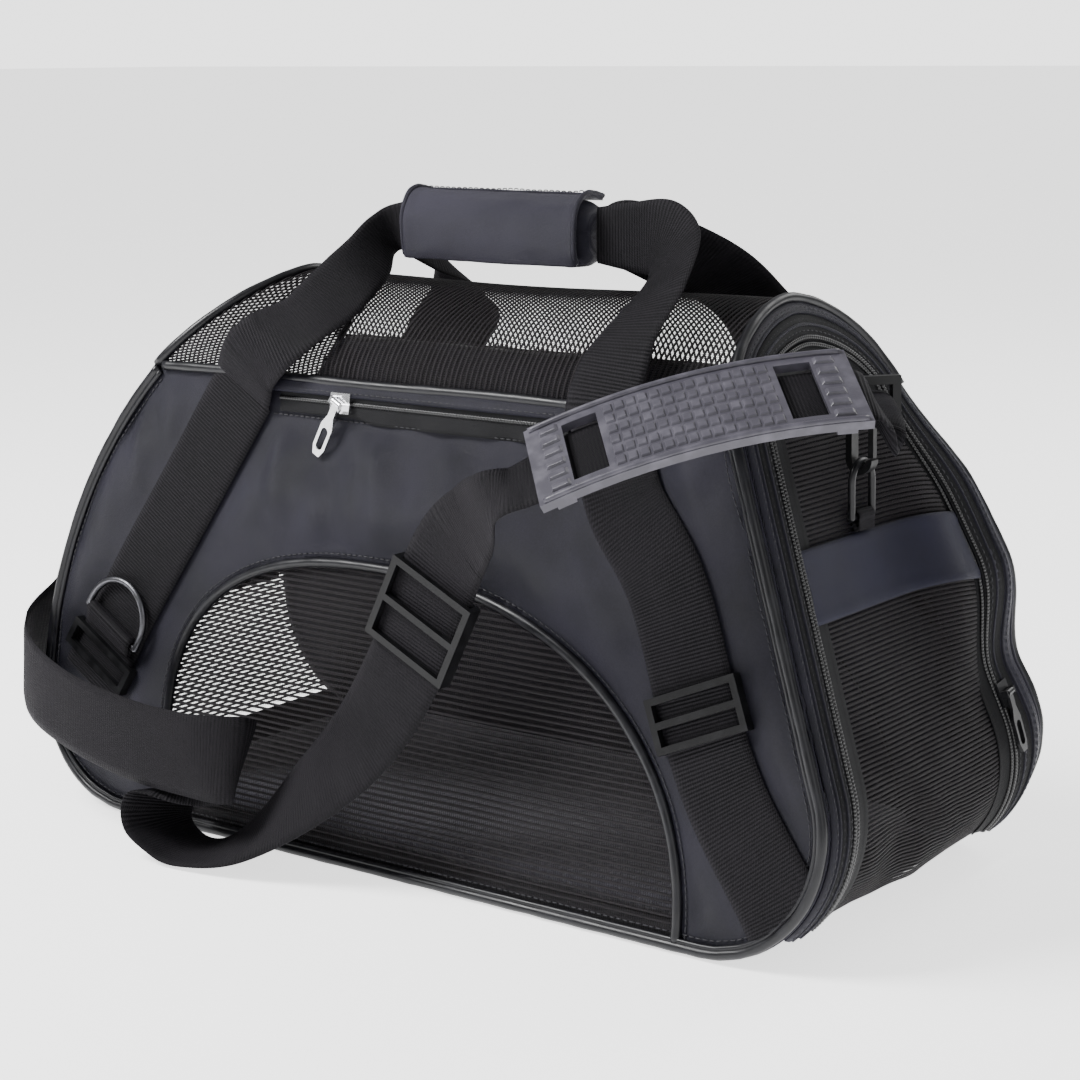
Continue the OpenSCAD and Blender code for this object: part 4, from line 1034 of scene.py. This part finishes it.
def on_pad(s, t, h):
    """Point of the pad: s along its arch, t across it, h over its underside."""
    s, t, h = np.broadcast_arrays(*(np.asarray(v, float) for v in (s, t, h)))
    angle = s / PAD_R
    local = np.stack([(PAD_R + h) * np.sin(angle), t, (PAD_R + h) * np.cos(angle) - PAD_R], -1)
    return PAD_AT + local @ PAD_TURN.T


def under_pad(degrees, width=STRAP_W):
    centre = on_pad(math.radians(degrees) * PAD_R, 0, -UNDER_PAD)
    return [tuple(centre), tuple(PAD_TURN @ [0, -1, 0]), width]


def by_adjuster(distance):
    up = np.array([math.sin(ADJUSTER_TURN), 0, math.cos(ADJUSTER_TURN)])
    across = (math.cos(ADJUSTER_TURN), 0, -math.sin(ADJUSTER_TURN))
    return [tuple(np.array([36, -114, 124]) + distance * up), across, STRAP_W]


STRAP_ROUTE = [
    [(-220, 0, 109), (0, -1, 0)], [(-228, 0, 112), (0, -1, 0)], [(-242, -2, 110), (0, -1, -0.1)],
    [(-250, -14, 100), (0, -0.8, -0.6)], [(-248, -34, 88), (0, -0.4, -0.9)],
    [(-243, -62, 78), (-0.1, -0.1, -1)], [(-230, -92, 69), (0, -0.1, -1)],
    [(-205, -112, 62), (0.1, -0.1, -1)], [(-165, -126, 56), (0.1, 0, -1)],
    [(-120, -133, 52), (0.1, 0, -1)], [(-84, -134, 51), (0.1, 0, -1)],
    [(-66, -131, 51), (0.1, -0.2, -1)], [(-60, -124, 50), (0, -0.3, -1)],
    [(-68, -117, 46), (-0.3, -0.4, -0.85)], [(-92, -116, 38), (-0.5, -0.5, -0.7)],
    [(-112, -119, 26), (-0.4, -0.9, -0.3)], [(-114, -122, 12), (-0.1, -1, 0)],
    [(-100, -122, 2.5), (0.2, -1, 0)], [(-82, -121, 4), (0.3, -0.95, -0.05)],
    [(-58, -119, 16), (0.5, -0.8, -0.3)], [(-30, -116, 38), (0.7, -0.5, -0.45)],
    [(0, -114, 66), (0.85, -0.2, -0.45)]]
PAD_APPROACH = [[(70, -124, 169), (0.85, -0.3, -0.45), 34], [(92, -139, 184), (0.75, -0.5, -0.4), 25]]
STRAP_END = [
    [(210, -52.5, 219), (0.7, -0.6, -0.4), 35], [(209, -49, 214), (0.8, -0.5, -0.3), 32],
    [(202, -42, 211), (0.95, -0.2, -0.2), 29], [(195, -30, 211), (0.95, 0.3, -0.1), 26],
    [(187, -17, 213), (0.82, 0.55, 0), 23], [(180, -7, 214.3), (0.78, 0.62, 0), 22],
    [(174.6, 0, 214.5), (0.76, 0.65, 0), 22], [(171, 4.3, 214.6), (0.76, 0.65, 0), 22]]

made = ribbon(
    "carry_strap",
    [[c, a, STRAP_W] for c, a in STRAP_ROUTE] + [by_adjuster(d) for d in (-27, 27)] + PAD_APPROACH
    + [under_pad(-14, 31)] + [under_pad(a) for a in range(-10, 11, 4)], "bag")
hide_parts("shoulder_strap")
webbing_sheet(made)
made = ribbon("carry_strap_end", [under_pad(10.1), under_pad(13.4)] + STRAP_END, None)
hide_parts("shoulder_strap_end")
webbing_sheet(made)
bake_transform(made)

# ---------------------------------------------------------------- tabs, grip, mat and pad


def tab(name, bar, along, normal, width, tail, body, node):
    """Webbing tab folded round a ring's bar, with its tail sewn down."""
    side = np.cross(normal, along)
    start = [bar - along * d + normal * h for d, h in ((tail + 1, 0.4), (3.6, 1.2))]
    turns = [bar + 2.75 * (math.sin(t) * normal - math.cos(t) * along)
             for t in np.radians(np.arange(40, 271, 23))]
    tails = [bar - along * d - 1.6 * normal for d in (3.2, tail - 1.5, tail + 1)]
    path = start + turns + tails
    made = ribbon(name, [[tuple(p), tuple(side), width] for p in path], body, thickness=0.9)
    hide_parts(node)
    webbing_sheet(made)


def leaning(angle):
    """Directions up an end that leans by an angle, and out of it, on the +X side."""
    return np.array([-math.sin(angle), 0, math.cos(angle)]), np.array([math.cos(angle), 0, math.sin(angle)])


TAB_R = 3.0
up, out = leaning(DOOR_LEAN)
tab("door_ring_tab_loop", door_at(0, 164) + TAB_R * out, up, out, 13, 5, "door", "door_ring_tab")
flip = np.array([-1, 1, 1])
up, out = (flip * way for way in leaning(math.asin((BAND_Z + BAND_H - 4 - CLOSED_R) / BULGE_R)))
tab("closed_ring_tab_loop", closed_at(0, 154) + (TAB_R + 1.3) * out, -up, out, 13, 4,
    "bag", "closed_ring_tab")
turn = math.atan2(28, 50)
panel_up = np.array([0, SIDE_SLOPE * math.cos(SIDE_LEAN), math.cos(SIDE_LEAN)])
tab("front_ring_tab_loop", panel_at(-175.7, 87.5 * math.cos(SIDE_LEAN), 2 + TAB_R),
    math.sin(turn) * np.array([1, 0, 0]) + math.cos(turn) * panel_up, side_normal(-1), 33, 5,
    "bag", "front_ring_tab")


def puffed(made, voxel, cap, pressure=4.0):
    """Blows up a closed soft piece like its stuffing does, by at most cap millimetres."""
    view = bpy.context.view_layer
    remesh = made.modifiers.new("remesh", "REMESH")
    remesh.mode = "VOXEL"
    remesh.voxel_size = voxel * MM
    remesh.use_smooth_shade = True
    bake(made)
    rest = positions(made)
    cloth = made.modifiers.new("cloth", "CLOTH")
    cloth.settings.use_pressure = True
    cloth.settings.uniform_pressure_force = pressure
    cloth.settings.effector_weights.gravity = 0
    for frame_number in range(1, 21):
        bpy.context.scene.frame_set(frame_number)
    view.update()
    bake(made)
    bpy.context.scene.frame_set(1)
    moved = positions(made) - rest
    size = np.linalg.norm(moved, axis=1, keepdims=True)
    moved *= np.minimum(1, cap * MM / np.maximum(size, 1e-9))
    made.data.vertices.foreach_set("co", (rest + moved).ravel().astype(np.float32))
    smooth = made.modifiers.new("smooth", "SUBSURF")
    smooth.levels = smooth.render_levels = 1
    bake(made)


def positions(made):
    rows = np.empty(len(made.data.vertices) * 3, np.float32)
    made.data.vertices.foreach_get("co", rows)
    return rows.reshape(-1, 3).astype(float)


def bake(made):
    """Applies every modifier to the mesh."""
    bpy.context.view_layer.update()
    graph = bpy.context.evaluated_depsgraph_get()
    mesh = bpy.data.meshes.new_from_object(made.evaluated_get(graph))
    made.modifiers.clear()
    made.data = mesh
    mesh.polygons.foreach_set("use_smooth", [True] * len(mesh.polygons))


GRIP_X, GRIP_LEN, GRIP_Z, GRIP_D, GRIP_H = -5.5, 101.0, 274.0, 27.0, 33.0


def oval(grow, angles):
    c, s = np.cos(angles), np.sin(angles)
    y = (GRIP_D / 2 + grow) * np.sign(c) * np.abs(c) ** 0.75
    z = GRIP_Z + (GRIP_H / 2 + grow) * np.sign(s) * np.abs(s) ** 0.75
    return np.stack([y, z], 1)


def closed_shape(name, rings, material, body):
    return piece(name, np.array(rings), tube_faces(len(rings), len(rings[0])), material, body)


def grip_wrap():
    """Stuffed cloth tube round both handles."""
    around = np.linspace(0, 2 * math.pi, 48, endpoint=False)
    rings = []
    for t in np.linspace(-1, 1, 40):
        ends = np.full(48, GRIP_X + t * (GRIP_LEN / 2 - 1))
        rings.append(np.column_stack([ends, oval(-1.6 - 3.0 * abs(t) ** 14, around)]))
    wrap = closed_shape("grip_cloth_wrap", rings, GRIP_CLOTH, "grip")
    puffed(wrap, 4, 1.6)
    p = positions(wrap) / MM
    turned = 15 * np.arctan2(p[:, 2] - GRIP_Z, p[:, 1])
    weave = np.column_stack([p[:, 0], turned, 0 * turned]).astype(np.float32)
    wrap.data.attributes.new("weave", "FLOAT_VECTOR", "POINT").data.foreach_set("vector", weave.ravel())
    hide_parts("grip_wrap", "grip_core", "grip_closure")


def off_grip(line):
    """Directions straight out of the grip at points of a line."""
    return unit(line * [0, 1, 1] - [0, 0, GRIP_Z])


def grip_flap():
    """The flap over the grip, with its bound rim and two rows of stitches."""
    angles = np.radians(np.linspace(212, 70, 46))
    x = np.linspace(-GRIP_LEN / 2 + 3, GRIP_LEN / 2 - 3, 60)[:, None]
    hem = 0.45 * bump_of(np.abs(x), GRIP_LEN / 2 - 5.5, 2.5)
    soft = rippled(x + 0 * angles, angles + 0 * x, 16, 1 / 2.2, 4)
    grow = 0.5 + (1.4 + 0.6 * soft + hem) * step_of(np.degrees(angles), 78, 100)
    grid = np.stack([np.column_stack([np.full(46, GRIP_X + along), oval(g, angles)])
                     for along, g in zip(x[:, 0], grow)])
    strip_sheet("grip_cloth_flap", grid, GRIP_CLOTH, "grip_cover", "grip_flap", 1.2)
    rim = np.concatenate([grid[0], grid[:, -1], grid[-1, ::-1], grid[::-1, 0]])
    cable("grip_flap_edge", rim, off_grip(rim), 1.15, GRIP_CLOTH, "grip_cover", 8)
    lines = [grid[:, row] + off_grip(grid[:, row]) * out for row, out in ((34, 0.5), (3, 0.6))]
    stitched("grip_stitches", [(line, off_grip(line)) for line in lines], "grip_cover")


def mat_outline(height, inset):
    """Rectangle with round corners, at one height of the mat."""
    corner = np.radians(np.arange(0, 91, 10))
    outline = []
    for start, right, back in ((0, 1, 1), (90, -1, 1), (180, -1, -1), (270, 1, -1)):
        a = corner + math.radians(start)
        outline.append(np.column_stack([right * 150 + (16 - inset) * np.cos(a),
                                        back * 69 + (16 - inset) * np.sin(a), np.full(len(a), height)]))
    return resample(np.concatenate(outline + [outline[0][:1]]), 6)[:150]


def fleece_mat():
    levels = ((5.4, 4), (6.2, 1.6), (9, 0.6), (12.5, 0.6), (15, 1.6), (16, 4))
    rings = [mat_outline(height, inset) for height, inset in levels]
    count = min(len(ring) for ring in rings)
    rings = [slice_rows(ring, np.linspace(0, len(ring) - 1.001, count)) for ring in rings]
    mat = closed_shape("fleece_pad", rings, FLEECE, "mat")
    puffed(mat, 5, 2.2)
    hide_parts("fleece_mat")


grip_wrap()
grip_flap()
fleece_mat()

# Raised squares between the pad's slots, and combs of bars beyond the slots


def blocks(name, cells, body):
    """Low blocks with sloping sides on the pad: each is s, t, half length, half width, height."""
    points, faces = [], []
    for s, t, ds, dt, h in cells:
        k = len(points)
        for hh, grow in ((PAD_T - 0.2, 1.0), (PAD_T + h, 0.72)):
            for a, b in ((-1, -1), (1, -1), (1, 1), (-1, 1)):
                points.append(on_pad(s + a * ds * grow, t + b * dt * grow, hh))
        faces += [(k + 4, k + 5, k + 6, k + 7)]
        faces += [(k + i, k + (i + 1) % 4, k + 4 + (i + 1) % 4, k + 4 + i) for i in range(4)]
    made = piece(name, points, faces, RUBBER, body, smooth=False)
    edges = made.modifiers.new("edges", "BEVEL")
    edges.width = 0.25 * MM
    edges.segments = 2
    return made


studs = [(s, t, 2.1, 2.9, 0.9) for s in np.linspace(-30, 30, 14) for t in np.linspace(-18, 18, 6)]
combs = [(s, t, 4.2, 2.2, 1.1) for s in (-54, 54) for t in np.linspace(-19, 19, 6)]
blocks("pad_studs", studs, "pad")
blocks("pad_combs", combs, "pad")
for side, word in SIDES:
    rim = on_pad(np.linspace(-61.5, 61.5, 60), side * (PAD_W / 2 - 1.6), PAD_T + 0.2)
    from_centre = unit(rim - PAD_AT + PAD_TURN @ [0, 0, PAD_R])
    cable("pad_rim_" + word, rim, from_centre, 1.3, RUBBER, "pad", 10, 0.02)

# ---------------------------------------------------------------- hard parts kept from the frame

KEPT = {
    "front_ring": GUNMETAL, "door_ring": ENAMEL, "closed_ring": CHROME, "pocket_slider": CHROME,
    "pocket_pull": CHROME, "door_slider": ENAMEL, "door_pull": ENAMEL, "shoulder_pad": RUBBER,
    "base_board": BOARD}
for node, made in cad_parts.items():
    if made.hide_render:
        continue
    finish = KEPT.get(node, PLASTIC)
    made.data.materials.clear()
    made.data.materials.append(finish)
    soft_edges = made.modifiers.new("soft_edges", "BEVEL")
    soft_edges.width = 0.35 * MM
    soft_edges.segments = 2
    soft_edges.limit_method = "ANGLE"
    soft_edges.angle_limit = math.radians(35)

# ---------------------------------------------------------------- studio

paper = Finish("floor", (0.86, 0.86, 0.86), 0.85, Emission_Color=(1, 1, 1), Emission_Strength=1.7)
speckle = paper.noise(paper.place(), 60, 2)
paper.colour(speckle, (0.85, 0.85, 0.85), (0.87, 0.87, 0.87))
FLOOR_REACH = 40000
corners = [(a * FLOOR_REACH, b * FLOOR_REACH, -0.6) for a, b in ((-1, -1), (1, -1), (1, 1), (-1, 1))]
piece("floor", corners, [(0, 1, 2, 3)], paper.material, None)

world = bpy.data.worlds.new("studio")
world.use_nodes = True
backdrop = world.node_tree.nodes["Background"]
backdrop.inputs["Color"].default_value = (1, 1, 1, 1)
rays = world.node_tree.nodes.new("ShaderNodeLightPath")
glow = world.node_tree.nodes.new("ShaderNodeMapRange")
glow.inputs["To Min"].default_value = 0.4
glow.inputs["To Max"].default_value = 2.6
world.node_tree.links.new(rays.outputs["Is Camera Ray"], glow.inputs["Value"])
world.node_tree.links.new(glow.outputs["Result"], backdrop.inputs["Strength"])
bpy.context.scene.world = world


def lamp(name, place, target, width, power):
    light = bpy.data.lights.new(name, "AREA")
    light.size = width
    light.energy = power
    made = bpy.data.objects.new(name, light)
    made.location = place
    made.rotation_euler = (Vector(target) - Vector(place)).to_track_quat("-Z", "Y").to_euler()
    bpy.context.scene.collection.objects.link(made)


lamp("key", (-0.8, -0.9, 1.4), (0, 0, 0.12), 0.7, 60)
lamp("fill", (1.5, -0.8, 0.8), (0, 0, 0.15), 1.2, 7)
lamp("back", (0.4, 1.5, 1.3), (0, 0, 0.2), 1.0, 14)
